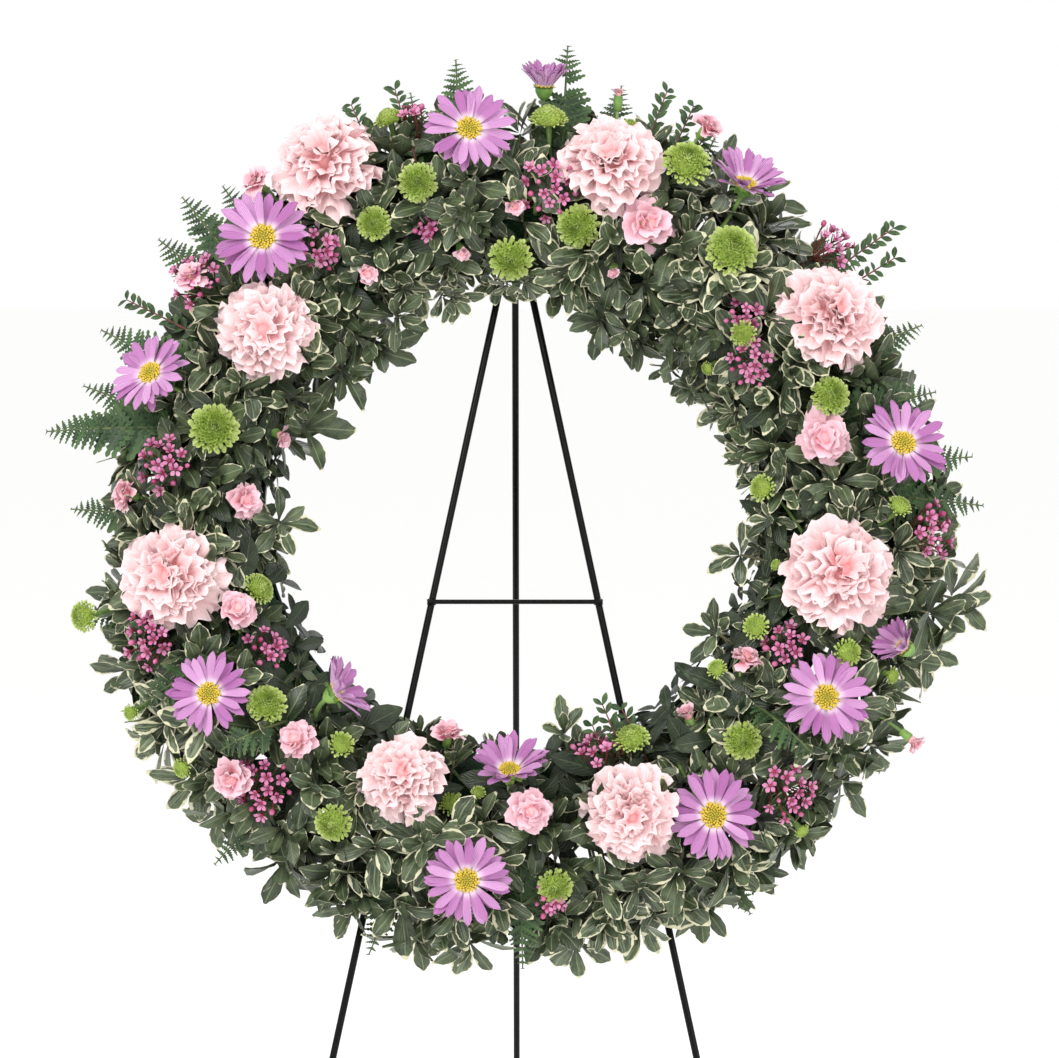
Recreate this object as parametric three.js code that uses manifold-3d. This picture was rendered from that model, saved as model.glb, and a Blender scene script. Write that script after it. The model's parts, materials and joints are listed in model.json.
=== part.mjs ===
// A standing funeral wreath: a wet-foam ring planted with carnations, daisies, button
// chrysanthemums, waxflower, fern and variegated pittosporum, hung on a folding wire easel.
//
// Lengths are in millimetres and angles in degrees. The finished part stands on Z = 0 with +Z up,
// +X to the viewer's right, and the flowers facing -Y. Everything is first built in the frame of
// the stand, whose origin is the ring's centre: X right, Y towards the back, and Z up the slope
// of the front legs. A place on the ring is given by its clock angle (0 at the top, clockwise
// from the front), its distance from the ring's centre, and its lift, forwards of the leg wires.

import * as THREE from "three";
import { mergeVertices } from "three/addons/utils/BufferGeometryUtils.js";
import Module from "manifold-3d";

const wasm = await Module();
wasm.setup();

// ---------------------------------------------------------------- driving dimensions
const INCH = 25.4;
const GAP = 0.3; // left between two pieces that touch

const LEG_LENGTH = 42 * INCH;
const LEG_WIRE = 4.8;
const CROSS_WIRE = 3.2;
const HALF_SPREAD = 12; // each front leg from the middle of the frame
const LEAN = 12; // the front frame from upright
const OPEN_ANGLE = 32; // between the front frame and the rear leg, spread
const APEX_RISE = 208; // from the ring's centre to where the front legs would meet
const CROSSBAR_DROP = 270; // from there down to the crossbar

const RING_OUTER = (18 * INCH) / 2;
const RING_WIDTH = 56.6;
const RING_CORE = RING_OUTER - RING_WIDTH / 2;
const TRAY_WALL = 2;
const TRAY_DEPTH = 20;
const FOAM_TOP = 50; // lift of the foam's front face
const RING_SIDES = 40;

const PIVOT = { back: 12, rise: 188 }; // the rear leg's hinge pin
const PIN_RADIUS = 1.8;
const PLATE = { halfWidth: 15, low: 176, high: 201, thickness: 1.5 };

const WIRE_TIE = { clock: 163.5, radius: 0.8 };

// ---------------------------------------------------------------- planting plan
// Single blooms: [clock, distance, width, lift, lean, clock the bloom leans towards].
const CARNATIONS = [
  [331, 268, 72, 72, 30, 331],
  [16, 240, 66, 84, 18, 10],
  [304, 203, 64, 84, 10, 250],
  [60, 249, 68, 84, 20, 60],
  [257, 237, 66, 82, 14, 257],
  [103, 223, 74, 84, 8, 90],
  [202, 199, 54, 84, 16, 330],
  [160, 226, 62, 86, 14, 170],
];
const DAISIES = [
  [353, 252, 62, 88, 16, 20],
  [316, 243, 66, 92, 14, 330],
  [289, 258, 58, 84, 32, 310],
  [4, 292, 30, 52, 82, 358],
  [36, 266, 60, 74, 48, 20],
  [82, 262, 64, 84, 26, 40],
  [237, 241, 56, 86, 8, 300],
  [222, 176, 54, 88, 76, 60],
  [181, 182, 58, 80, 46, 0],
  [148, 249, 63, 72, 10, 60],
  [123, 246, 62, 86, 10, 60],
  [111, 277, 32, 78, 52, 300],
  [187, 256, 60, 84, 14, 200],
];
// Sprays: the clock angle where the stem enters the foam, then its blooms.
const BUTTON_SPRAYS = [
  [9,
    [359, 163, 29, 76, 24, 180],
    [13, 190, 29, 78, 16, 200],
    [5, 264, 26, 70, 56, 0],
    [27, 257, 32, 84, 20, 20],
  ],
  [50,
    [41, 223, 34, 86, 10, 40],
    [54, 190, 18, 78, 14, 230],
    [72, 223, 26, 84, 12, 90],
  ],
  [98,
    [87, 166, 19, 66, 34, 270],
    [91, 258, 17, 78, 40, 30],
    [115, 245, 19, 80, 20, 100],
    [118, 182, 18, 76, 20, 300],
  ],
  [140,
    [137, 222, 25, 80, 12, 150],
    [154, 177, 25, 72, 46, 350],
    [174, 260, 23, 76, 20, 170],
  ],
  [217,
    [192, 206, 18, 62, 20, 10],
    [209, 248, 25, 80, 24, 210],
    [215, 200, 18, 74, 20, 40],
    [230, 214, 26, 82, 16, 30],
  ],
  [262,
    [251, 180, 22, 66, 48, 60],
    [255, 300, 21, 62, 34, 255],
    [283, 206, 33, 86, 10, 90],
  ],
  [337,
    [333, 210, 23, 80, 10, 200],
    [342, 279, 21, 58, 60, 340],
    [343, 224, 26, 84, 12, 180],
  ],
];
const MINI_SPRAYS = [
  [22,
    [26, 207, 36, 86, 14, 100],
    [27, 292, 22, 62, 62, 40],
    [14, 295, 11, 44, 84, 4],
  ],
  [78, [79, 211, 34, 82, 12, 200]],
  [130,
    [121, 314, 19, 50, 84, 130],
    [124, 187, 21, 72, 60, 20],
    [141, 183, 19, 62, 66, 340],
  ],
  [186,
    [177, 210, 28, 92, 22, 130],
    [196, 160, 22, 60, 60, 10],
  ],
  [232,
    [222, 217, 26, 84, 22, 300],
    [225, 266, 28, 74, 34, 230],
    [248, 198, 25, 82, 20, 60],
  ],
  [278,
    [270, 179, 24, 72, 36, 90],
    [271, 264, 23, 70, 60, 280],
    [286, 163, 17, 58, 56, 120],
  ],
  [316,
    [305, 268, 22, 76, 40, 330],
    [321, 284, 21, 62, 50, 300],
    [327, 183, 19, 76, 30, 160],
  ],
];
const WAX_SPRAYS = [
  [96,
    [92, 280, 17, 76, 30, 90],
    [98, 286, 17, 68, 46, 110],
    [94, 302, 15, 60, 64, 94],
  ],
  [264,
    [275, 242, 17, 84, 20, 290],
    [251, 262, 17, 78, 26, 250],
    [246, 274, 15, 70, 44, 250],
  ],
  [56,
    [50, 196, 15, 78, 20, 200],
    [60, 181, 17, 80, 26, 230],
    [50, 288, 17, 64, 60, 50],
  ],
];
// Fern: the clock angle of the shared root, then each frond's tip as [clock, distance, lift].
const FERN_WIDTH = 44;
const FERNS = [
  [0,
    [352, 314, 36],
    [8, 318, 34],
  ],
  [286,
    [279, 320, 32],
    [296, 304, 34],
  ],
  [75,
    [66, 300, 32],
    [83, 312, 32],
  ],
];
// Pittosporum branches stand at even steps round the ring. Each sends shoots to these places,
// as [clock from the branch's own, distance, lift, outwards or inwards]. They droop: those that
// reach into the ring's hole reach further in at the top than at the bottom.
const BRANCHES = { count: 8, start: 20, leaf: 35, twig: 1.3, droop: 15 };
const OUT = 0; // added to the clock angle that a whorl leans towards
const IN = 180;
const SHOOTS = [
  [-17, 276, 34, OUT],
  [-4, 284, 46, OUT],
  [10, 272, 30, OUT],
  [-10, 170, 40, IN],
  [10, 172, 44, IN],
  [3, 232, 62, OUT],
];

const COLOURS = {
  wire: { color: 0x17191a, roughness: 0.35, metalness: 0.6 },
  tray: { color: 0x14201a, roughness: 0.45, metalness: 0 },
  foam: { color: 0x1f3a26, roughness: 0.95, metalness: 0 },
  tie: { color: 0x2f3b2c, roughness: 0.5, metalness: 0.7 },
  carnation: { color: 0xf4b8bc, roughness: 0.75, metalness: 0 },
  daisy: { color: 0xcf86cf, roughness: 0.65, metalness: 0 },
  button: { color: 0x9cc23f, roughness: 0.7, metalness: 0 },
  wax: { color: 0xc9568f, roughness: 0.6, metalness: 0 },
  fern: { color: 0x2c4a2b, roughness: 0.55, metalness: 0 },
  leaf: { color: 0x4b5f46, roughness: 0.5, metalness: 0 },
};

// ---------------------------------------------------------------- solids
const rad = THREE.MathUtils.degToRad;
const UP = new THREE.Vector3(0, 1, 0);

function vec(x, y, z) {
  return new THREE.Vector3(x, y, z);
}

// A geometry as a solid. Faces that collapsed at a lathe's poles are dropped.
function solidOf(geometry) {
  const loose = geometry.index ? geometry.toNonIndexed() : geometry;
  const bare = new THREE.BufferGeometry();
  bare.setAttribute("position", loose.getAttribute("position"));
  const merged = mergeVertices(bare, 1e-4);
  const index = merged.index.array;
  const triangles = [];
  for (let i = 0; i < index.length; i += 3) {
    const [a, b, c] = [index[i], index[i + 1], index[i + 2]];
    if (a !== b && b !== c && c !== a) triangles.push(a, b, c);
  }
  const make = (list) =>
    new wasm.Manifold(
      new wasm.Mesh({
        numProp: 3,
        vertProperties: merged.attributes.position.array,
        triVerts: new Uint32Array(list),
      }),
    );
  const made = make(triangles);
  return made.volume() < 0 ? make(triangles.reverse()) : made;
}

function geometryOf(solid) {
  const mesh = solid.getMesh();
  const geometry = new THREE.BufferGeometry();
  geometry.setAttribute("position", new THREE.BufferAttribute(mesh.vertProperties, 3));
  geometry.setIndex(new THREE.BufferAttribute(mesh.triVerts, 1));
  const faceted = geometry.toNonIndexed();
  faceted.computeVertexNormals();
  return faceted;
}

function join(...solids) {
  return solids.reduce((whole, next) => whole.add(next));
}

// A straight round bar between two points.
function bar(from, to, radius, sides = 8, radiusTo = radius) {
  const along = to.clone().sub(from);
  const geometry = new THREE.CylinderGeometry(radiusTo, radius, along.length(), sides);
  geometry.applyQuaternion(new THREE.Quaternion().setFromUnitVectors(UP, along.normalize()));
  geometry.translate(...from.clone().add(to).multiplyScalar(0.5).toArray());
  return solidOf(geometry);
}

// A round bar bent along a curve.
function bentBar(curve, radius, steps, sides = 6) {
  const section = new THREE.Shape();
  for (let i = 0; i < sides; i += 1) {
    const turn = (2 * Math.PI * i) / sides;
    const point = [radius * Math.cos(turn), radius * Math.sin(turn)];
    if (i === 0) section.moveTo(...point);
    else section.lineTo(...point);
  }
  return solidOf(new THREE.ExtrudeGeometry(section, { steps, extrudePath: curve }));
}

function block(low, high) {
  const size = high.clone().sub(low);
  const geometry = new THREE.BoxGeometry(size.x, size.y, size.z);
  geometry.translate(...low.clone().add(high).multiplyScalar(0.5).toArray());
  return solidOf(geometry);
}

// A turned shape whose axis is +Y, from [radius, height] pairs.
function turned(profile, sides) {
  const points = profile.map(([radius, height]) => new THREE.Vector2(radius, height));
  return new THREE.LatheGeometry(points, sides);
}

// ---------------------------------------------------------------- places
function place(clock, distance, lift) {
  return vec(distance * Math.sin(rad(clock)), -lift, distance * Math.cos(rad(clock)));
}

// The way a bloom faces: straight forwards, leaning towards a clock angle.
function facing(lean, towards) {
  const side = Math.sin(rad(lean));
  return vec(side * Math.sin(rad(towards)), -Math.cos(rad(lean)), side * Math.cos(rad(towards)));
}

// Puts a geometry modelled along +Y at a place, facing a direction.
function aim(geometry, at, direction) {
  geometry.applyQuaternion(new THREE.Quaternion().setFromUnitVectors(UP, direction));
  geometry.translate(at.x, at.y, at.z);
  return geometry;
}

// Repeatable scatter between -1 and 1.
let scatterSeed = 7;
function scatter() {
  scatterSeed = (scatterSeed * 16807) % 2147483647;
  return (scatterSeed / 2147483647) * 2 - 1;
}

// ---------------------------------------------------------------- assembly
const part = new THREE.Group();
const stand = new THREE.Group();
part.add(stand);
stand.rotation.x = -rad(LEAN);
const slope = LEG_LENGTH * Math.cos(rad(HALF_SPREAD)) - APEX_RISE;
stand.position.z = slope * Math.cos(rad(LEAN));
stand.updateMatrixWorld(true);

const planted = []; // the solids that later ones keep clear of
const sockets = []; // the holes that the stems make in the foam

// A joined solid without the specks that rounding leaves where its pieces cross.
function withoutSpecks(solid) {
  const bodies = solid.decompose();
  return bodies.reduce((largest, body) => (body.volume() > largest.volume() ? body : largest));
}

function boxed(solid) {
  return { solid, box: solid.boundingBox() };
}

function add(name, whole, finish) {
  const solid = withoutSpecks(whole);
  if (whole.volume() - solid.volume() > 1) throw new Error(`${name} is in pieces`);
  const mesh = new THREE.Mesh(geometryOf(solid), new THREE.MeshStandardMaterial(finish));
  mesh.name = name;
  stand.add(mesh);
  planted.push(boxed(solid));
}

function boxesMeet(a, b) {
  return [0, 1, 2].every((k) => a.min[k] < b.max[k] && b.min[k] < a.max[k]);
}

function isClear(solid, others) {
  const box = solid.boundingBox();
  return others.every(
    (other) => !boxesMeet(box, other.box) || other.solid.intersect(solid).volume() < 1e-3,
  );
}

// ---------------------------------------------------------------- the easel
function legPoint(side, dropFromApex) {
  const across = side * dropFromApex * Math.tan(rad(HALF_SPREAD));
  return vec(across, 0, APEX_RISE - dropFromApex);
}

// Everything below the floor, to cut the feet level with it.
function belowFloor() {
  const floor = new THREE.BoxGeometry(2000, 2000, 100).translate(0, 0, -50);
  return solidOf(floor.applyMatrix4(stand.matrixWorld.clone().invert()));
}

function frontLeg(side) {
  const top = legPoint(side, (LEG_WIRE / 2 + GAP / 2) / Math.tan(rad(HALF_SPREAD)));
  const foot = legPoint(side, LEG_LENGTH * Math.cos(rad(HALF_SPREAD)) + 8);
  return bar(top, foot, LEG_WIRE / 2, 12).subtract(belowFloor());
}

function crossbar() {
  const forward = (LEG_WIRE + CROSS_WIRE) / 2 + GAP;
  const ends = [-1, 1].map((side) => {
    const end = legPoint(side, CROSSBAR_DROP);
    end.y -= forward;
    end.x += side * 3;
    return end;
  });
  return bar(ends[0], ends[1], CROSS_WIRE / 2, 10);
}

// The hook that carries the ring: a stub between the legs, an arm forwards, and a raised tip.
const HOOK = { radius: 2, reach: 54, tip: 10 };
function ringHook() {
  const rise = RING_OUTER - RING_WIDTH - HOOK.radius - GAP;
  const halfGap = (APEX_RISE - rise) * Math.tan(rad(HALF_SPREAD)) - LEG_WIRE / 2 - 2 * GAP;
  const stub = bar(vec(-halfGap, 0, rise), vec(halfGap, 0, rise), HOOK.radius, 10);
  const arm = bar(vec(0, 0, rise), vec(0, -HOOK.reach - 1, rise), HOOK.radius, 10);
  const tip = bar(
    vec(0, -HOOK.reach, rise - HOOK.radius),
    vec(0, -HOOK.reach, rise + HOOK.tip),
    HOOK.radius,
    10,
  );
  return join(stub, arm, tip);
}

function alongX(profile, sides) {
  const geometry = turned(profile, sides).rotateZ(-Math.PI / 2);
  return geometry.translate(0, PIVOT.back, PIVOT.rise);
}

const EAR = { inner: 4, outer: 5.5, back: 17, half: 8 };
function hingeBracket() {
  const front = LEG_WIRE / 2 + GAP;
  const back = front + PLATE.thickness;
  const plate = block(vec(-PLATE.halfWidth, front, PLATE.low), vec(PLATE.halfWidth, back, PLATE.high));
  const ears = [-1, 1].map((side) => {
    const inner = Math.min(side * EAR.inner, side * EAR.outer);
    const low = vec(inner, front, PIVOT.rise - EAR.half);
    return block(low, vec(inner + EAR.outer - EAR.inner, EAR.back, PIVOT.rise + EAR.half));
  });
  const hole = PIN_RADIUS + GAP;
  const drill = solidOf(alongX([[0, -20], [hole, -20], [hole, 20], [0, 20]], 12));
  return join(plate, ...ears).subtract(drill);
}

function hingePin() {
  const neck = EAR.outer + GAP;
  const head = { radius: 3.4, end: neck + 1.4 };
  const half = [[PIN_RADIUS, neck], [head.radius, neck], [head.radius, head.end], [0, head.end]];
  const otherHalf = half.map(([radius, height]) => [radius, -height]).reverse();
  return solidOf(alongX([...otherHalf, ...half], 12));
}

const EYE = { bore: PIN_RADIUS + 0.4, outer: 7, stop: 10.6 };
function rearLeg() {
  const down = vec(0, Math.sin(rad(OPEN_ANGLE)), -Math.cos(rad(OPEN_ANGLE)));
  const pivot = vec(0, PIVOT.back, PIVOT.rise);
  const at = (distance) => pivot.clone().addScaledVector(down, distance);
  const half = LEG_WIRE / 2;
  const rim = (EYE.bore + EYE.outer) / 2;
  const section = [[EYE.bore, -half], [EYE.outer, -half], [EYE.outer, half], [EYE.bore, half]];
  const eye = solidOf(alongX([...section, section[0]], 14));
  const leg = bar(at(rim), at(LEG_LENGTH + 40), half, 12);
  const lever = bar(at(-rim), at(-EYE.stop), half, 12);
  return join(eye, leg, lever).subtract(belowFloor());
}

add("front_leg_left", frontLeg(-1), COLOURS.wire);
add("front_leg_right", frontLeg(1), COLOURS.wire);
add("crossbar", crossbar(), COLOURS.wire);
add("ring_hook", ringHook(), COLOURS.wire);
add("hinge_bracket", hingeBracket(), COLOURS.wire);
add("hinge_pin", hingePin(), COLOURS.wire);
add("rear_leg", rearLeg(), COLOURS.wire);

// ---------------------------------------------------------------- the foam ring
const RING_BACK = LEG_WIRE / 2 + GAP; // lift of the tray's back face
const RING_INNER = RING_OUTER - RING_WIDTH;

// A ring from the [distance, lift] corners of its section.
function ring(section) {
  const profile = [...section, section[0]].map(([distance, lift]) => [distance, -lift]);
  return solidOf(turned(profile, RING_SIDES));
}

function ringTray() {
  const rim = RING_BACK + TRAY_DEPTH;
  const floor = RING_BACK + TRAY_WALL;
  return ring([
    [RING_INNER, RING_BACK],
    [RING_OUTER, RING_BACK],
    [RING_OUTER, rim],
    [RING_OUTER - TRAY_WALL, rim],
    [RING_OUTER - TRAY_WALL, floor],
    [RING_INNER + TRAY_WALL, floor],
    [RING_INNER + TRAY_WALL, rim],
    [RING_INNER, rim],
  ]);
}

function foamRing() {
  const inner = RING_INNER + TRAY_WALL + GAP;
  const outer = RING_OUTER - TRAY_WALL - GAP;
  const back = RING_BACK + TRAY_WALL + GAP;
  return ring([
    [inner, back],
    [outer, back],
    [outer, FOAM_TOP - 16],
    [outer - 6, FOAM_TOP - 4],
    [outer - 15, FOAM_TOP],
    [inner + 15, FOAM_TOP],
    [inner + 6, FOAM_TOP - 4],
    [inner, FOAM_TOP - 16],
  ]);
}

// A wire bound round the ring and the leg behind it, with a twisted tail in front.
function tieWire(side) {
  const slack = GAP + WIRE_TIE.radius + 0.8;
  const back = -LEG_WIRE / 2 - slack;
  const front = FOAM_TOP + slack;
  const path = [
    [RING_INNER - slack, back],
    [RING_CORE, back],
    [RING_OUTER + slack, back],
    [RING_OUTER + slack, 20],
    [RING_OUTER - 1, front - 7],
    [RING_OUTER - 12, front],
    [RING_INNER + 12, front],
    [RING_INNER + 1, front - 7],
    [RING_INNER - slack, 20],
  ];
  const points = path.map(([distance, lift]) => place(side * WIRE_TIE.clock, distance, lift));
  const curve = new THREE.CatmullRomCurve3(points, true, "catmullrom", 0.25);
  const loop = solidOf(new THREE.TubeGeometry(curve, 22, WIRE_TIE.radius, 5, true));
  const knot = points[6];
  return join(loop, bar(knot, knot.clone().add(vec(0, -8, -3)), 1.3, 5, 1));
}

add("ring_tray", ringTray(), COLOURS.tray);
const foam = boxed(foamRing()); // added last, once the stems have made their holes
add("tie_wire_left", tieWire(-1), COLOURS.tie);
add("tie_wire_right", tieWire(1), COLOURS.tie);

// ---------------------------------------------------------------- blooms
// Every bloom is modelled facing +Y, with the middle of its widest ring at the origin.

// Crimps a turned shape's rim into petals, more towards the edge.
function crimped(geometry, radius, folds, depth) {
  const position = geometry.getAttribute("position");
  for (let i = 0; i < position.count; i += 1) {
    const [x, y, z] = [position.getX(i), position.getY(i), position.getZ(i)];
    const share = Math.hypot(x, z) / radius;
    const fold = share ** 2 * Math.cos(folds * Math.atan2(z, x) + (3 * y) / radius);
    const grow = 1 - depth * (0.5 - 0.5 * fold) * share;
    position.setXYZ(i, x * grow, y + 0.5 * depth * radius * fold, z * grow);
  }
  return geometry;
}

// Rays round a core, cupped forwards by a share of their length, as on a daisy or a whorl of
// leaves. A ray's outline is [turn, reach] pairs: its turn as a share of the step between rays
// and its reach as a share of the radius. The core's face rises to a dome.
function star({ rays, outline, core, cup = 0, thickness, dome = thickness / 2 }, radius) {
  const flat = Math.sqrt(1 - cup * cup);
  const point = (ray, across, reach, rise) => {
    const turn = (2 * Math.PI * (ray + across)) / rays;
    const out = reach * radius;
    return vec(flat * out * Math.cos(turn), cup * out + rise, -flat * out * Math.sin(turn));
  };
  const points = [];
  const half = thickness / 2;
  for (let i = 0; i < rays; i += 1) {
    const [front, frontNext] = [-0.5, 0.5].map((across) => point(i, across, core, half));
    const [back, backNext] = [-0.5, 0.5].map((across) => point(i, across, core, -half));
    const rim = outline.map(([across, reach]) => point(i, across, reach, 0));
    for (let k = 0; k + 1 < rim.length; k += 1) {
      points.push(front, rim[k], rim[k + 1], back, rim[k + 1], rim[k]);
    }
    const last = rim.at(-1);
    points.push(front, last, frontNext, back, backNext, last);
    points.push(front, back, rim[0], frontNext, last, backNext);
    points.push(front, frontNext, vec(0, dome, 0), back, vec(0, -half, 0), backNext);
  }
  return new THREE.BufferGeometry().setFromPoints(points);
}

function scaled(profile, radius) {
  return profile.map(([across, up]) => [across * radius, up * radius]);
}

const CARNATION = [
  [0, -0.95],
  [0.16, -0.9],
  [0.22, -0.3],
  [0.84, -0.12],
  [1, 0.1],
  [0.72, 0.38],
  [0, 0.54],
];
function carnationHead(width) {
  const r = width / 2;
  return { petals: crimped(turned(scaled(CARNATION, r), 14), r, 7, 0.14), base: 0.7 * r, stem: 2 };
}

const DAISY = { rays: 11, outline: [[-0.36, 0.96], [0.3, 1]], core: 0.26, thickness: 3 };
function daisyHead(width, lean) {
  const halfClosed = width < 40;
  const cup = halfClosed ? 0.72 : 0.08 + lean / 300;
  const petals = star({ ...DAISY, cup, dome: 0.11 * width }, width / 2 / Math.sqrt(1 - cup * cup));
  return { petals, base: 0, stem: 1.7 };
}

const BUTTON = [[0, -0.5], [0.95, -0.16], [0.72, 0.36], [0, 0.52]];
function buttonHead(width) {
  const r = width / 2;
  return { petals: turned(scaled(BUTTON, r), 8), base: 0.25 * r, stem: 1.3 };
}

// A mini carnation's calyx is nearly as long on a small bud as on an open bloom.
const MINI_FACE = [[1, 0.14], [0.6, 0.5], [0, 0.52]];
function miniHead(width) {
  const r = width / 2;
  const long = Math.max(13, 0.9 * r);
  const profile = [[0, -long], [2.8, 2 - long], [3.4, -0.25 * r], ...scaled(MINI_FACE, r)];
  return { petals: crimped(turned(profile, 8), r, 4, 0.14), base: long - 4, stem: 1.3 };
}

const WAX = { rays: 5, outline: [[-0.34, 0.9], [0.34, 0.9]], core: 0.3, cup: 0.2, thickness: 2 };
function waxHead(width) {
  return { petals: star(WAX, width / 2), base: 0, stem: 0.9 };
}

// Stems stand square in the foam up to a fork just in front of it, and bend from there.
const STEM = { root: 22, fork: 59, sides: 4 };

function stub(clock, radius) {
  return bar(place(clock, RING_CORE, STEM.root), place(clock, RING_CORE, STEM.fork), radius, STEM.sides);
}

function socketAt(clock, radius) {
  const end = { low: STEM.root - GAP, high: STEM.fork };
  return bar(place(clock, RING_CORE, end.low), place(clock, RING_CORE, end.high), radius + 2 * GAP, 5);
}

// From the fork to a point, arriving along a direction.
function stemCurve(clock, end, direction) {
  const fork = place(clock, RING_CORE, STEM.fork - 2);
  const reach = fork.distanceTo(end) * 0.36;
  return new THREE.QuadraticBezierCurve3(fork, end.clone().addScaledVector(direction, -reach), end);
}

function bloom(head, [clock, distance, width, lift, lean, towards], rootClock) {
  const { petals, base, stem } = head(width, lean);
  const at = place(clock, distance, lift);
  const direction = facing(lean, towards);
  const end = at.clone().addScaledVector(direction, -base);
  const curve = stemCurve(rootClock, end, direction);
  return join(solidOf(aim(petals, at, direction)), bentBar(curve, stem, 3, STEM.sides));
}

// Offsets to try in turn: 0, then one step either way, then two, and so on.
function offsets(step, count) {
  return Array.from({ length: count }, (_, i) => (i % 2 ? 1 : -1) * Math.ceil(i / 2) * step);
}

// The first of several tries that is clear of the foam and of everything planted, or nothing.
function firstClear(tries, make) {
  for (let i = 0; i < tries; i += 1) {
    const made = make(i);
    if (isClear(made, [foam, ...planted])) return made;
  }
  return null;
}

// A bloom at its place, or raised or sunk a little, where it has room.
function clearBloom(head, spec, rootClock) {
  const raises = offsets(3, 13);
  return firstClear(raises.length, (i) => bloom(head, spec.with(3, spec[3] + raises[i]), rootClock));
}

// What shares a stem, which is turned along the ring until enough of it has room.
function plant(name, finish, { clock, radius, turns, enough }, make) {
  for (const shift of turns) {
    const root = clock + shift;
    const stem = stub(root, radius);
    if (!isClear(stem, planted)) continue;
    const made = make(root).filter(Boolean);
    if (made.length >= enough) {
      add(name, join(stem, ...made), finish);
      sockets.push(socketAt(root, radius));
      return;
    }
  }
  throw new Error(`${name} has no room`);
}

function plantBlooms(name, head, clock, radius, specs, finish) {
  const stem = { clock, radius, turns: offsets(0.6, 61), enough: specs.length };
  plant(name, finish, stem, (root) => specs.map((spec) => clearBloom(head, spec, root)));
}

function plantEach(name, head, specs, finish) {
  specs.forEach((spec, i) => plantBlooms(`${name}_${i + 1}`, head, spec[0], 2, [spec], finish));
}

function plantSprays(name, head, sprays, finish) {
  sprays.forEach(([root, ...specs], i) => {
    plantBlooms(`${name}_${i + 1}`, head, root, 1.6, specs, finish);
  });
}

plantEach("carnation", carnationHead, CARNATIONS, COLOURS.carnation);
plantEach("daisy", daisyHead, DAISIES, COLOURS.daisy);
plantSprays("button_spray", buttonHead, BUTTON_SPRAYS, COLOURS.button);
plantSprays("mini_carnation", miniHead, MINI_SPRAYS, COLOURS.carnation);
plantSprays("waxflower_spray", waxHead, WAX_SPRAYS, COLOURS.wax);

// ---------------------------------------------------------------- foliage
// A fern frond's outline: pinnae either side, longest a third of the way up.
function frondOutline(length, width) {
  const pinnae = 6;
  const side = [];
  for (let i = 0; i < pinnae; i += 1) {
    const up = (i + 0.6) / pinnae;
    const reach = (width / 2) * Math.min(1, 0.55 + 2 * up) * (1 - up) ** 0.7;
    side.push([reach + 1, (up + 0.06) * length], [0.3 * reach + 1, (up + 0.1) * length]);
  }
  const left = side.map(([across, up]) => [-across, up]).reverse();
  const outline = [[1, 0], ...side, [0, length], ...left, [-1, 0]];
  return new THREE.Shape(outline.map((point) => new THREE.Vector2(...point)));
}

// A frond on its stalk, from the fork over the ring's outer edge to a tip.
function frond(rootClock, tip) {
  const fork = place(rootClock, RING_CORE, STEM.fork);
  const base = fork.clone().lerp(tip, 0.28);
  const up = tip.clone().sub(base);
  const outline = frondOutline(up.length(), FERN_WIDTH);
  const blade = new THREE.ExtrudeGeometry(outline, { depth: 1.2, bevelEnabled: false });
  up.normalize();
  const front = vec(0, -1, 0).addScaledVector(up, up.y).normalize();
  const frame = new THREE.Matrix4().makeBasis(up.clone().cross(front), up, front);
  blade.translate(0, 0, -0.6).applyMatrix4(frame.setPosition(base));
  const curve = stemCurve(rootClock, base.clone().addScaledVector(up, 6), up);
  return join(solidOf(blade), bentBar(curve, 1.2, 3, STEM.sides));
}

function plantFern(name, [clock, ...tips]) {
  const stem = { clock, radius: 1.6, turns: offsets(1, 31), enough: tips.length };
  plant(name, COLOURS.fern, stem, (root) =>
    tips.map(([turn, distance, lift]) =>
      firstClear(40, () => {
        const tip = place(turn + 3 * scatter(), distance + 5 * scatter(), lift + 8 * scatter());
        return frond(root, tip);
      }),
    ),
  );
}

// A leafy shoot: a twig and the whorl of leaves at its end.
const WHORL = { rays: 5, outline: [[-0.42, 0.78], [0.3, 1]], core: 0.16, cup: 0.3, thickness: 2 };
function shoot(rootClock, [clock, distance, lift], direction, reach) {
  const at = place(clock, distance, lift);
  const edge = RING_CORE + Math.sign(distance - RING_CORE) * 0.4 * RING_WIDTH;
  const fork = place(rootClock, RING_CORE, STEM.fork - 2);
  const over = place((clock + rootClock) / 2, edge, Math.max(lift, STEM.fork + 4));
  const twig = bentBar(new THREE.QuadraticBezierCurve3(fork, over, at), BRANCHES.twig, 4, 3);
  const whorl = star(WHORL, reach).rotateY(scatter() * Math.PI);
  return join(solidOf(aim(whorl, at, direction)), twig);
}

function shoots(root) {
  return SHOOTS.map(([turn, distance, lift, way]) =>
    firstClear(50, () => {
      const clock = root + turn + 4 * scatter();
      const droop = way === IN ? BRANCHES.droop * Math.cos(rad(clock)) : 0;
      const at = [clock, distance - droop + 12 * scatter(), lift + 12 * scatter()];
      const direction = facing(55 + 30 * scatter(), clock + way + 40 * scatter());
      return shoot(root, at, direction, BRANCHES.leaf * (0.9 + 0.1 * scatter()));
    }),
  );
}

FERNS.forEach((fern, i) => plantFern(`fern_${i + 1}`, fern));
for (let i = 0; i < BRANCHES.count; i += 1) {
  const clock = BRANCHES.start + (360 * i) / BRANCHES.count;
  const stem = { clock, radius: 2, turns: offsets(1.5, 21), enough: SHOOTS.length - 1 };
  plant(`pittosporum_${i + 1}`, COLOURS.leaf, stem, shoots);
}
add("foam_ring", foam.solid.subtract(join(...sockets)), COLOURS.foam);

// The origin is on the floor, under the middle of the whole.
const middle = new THREE.Box3().setFromObject(part, true).getCenter(vec(0, 0, 0));
stand.position.x -= middle.x;
stand.position.y -= middle.y;

export default part;
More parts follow.
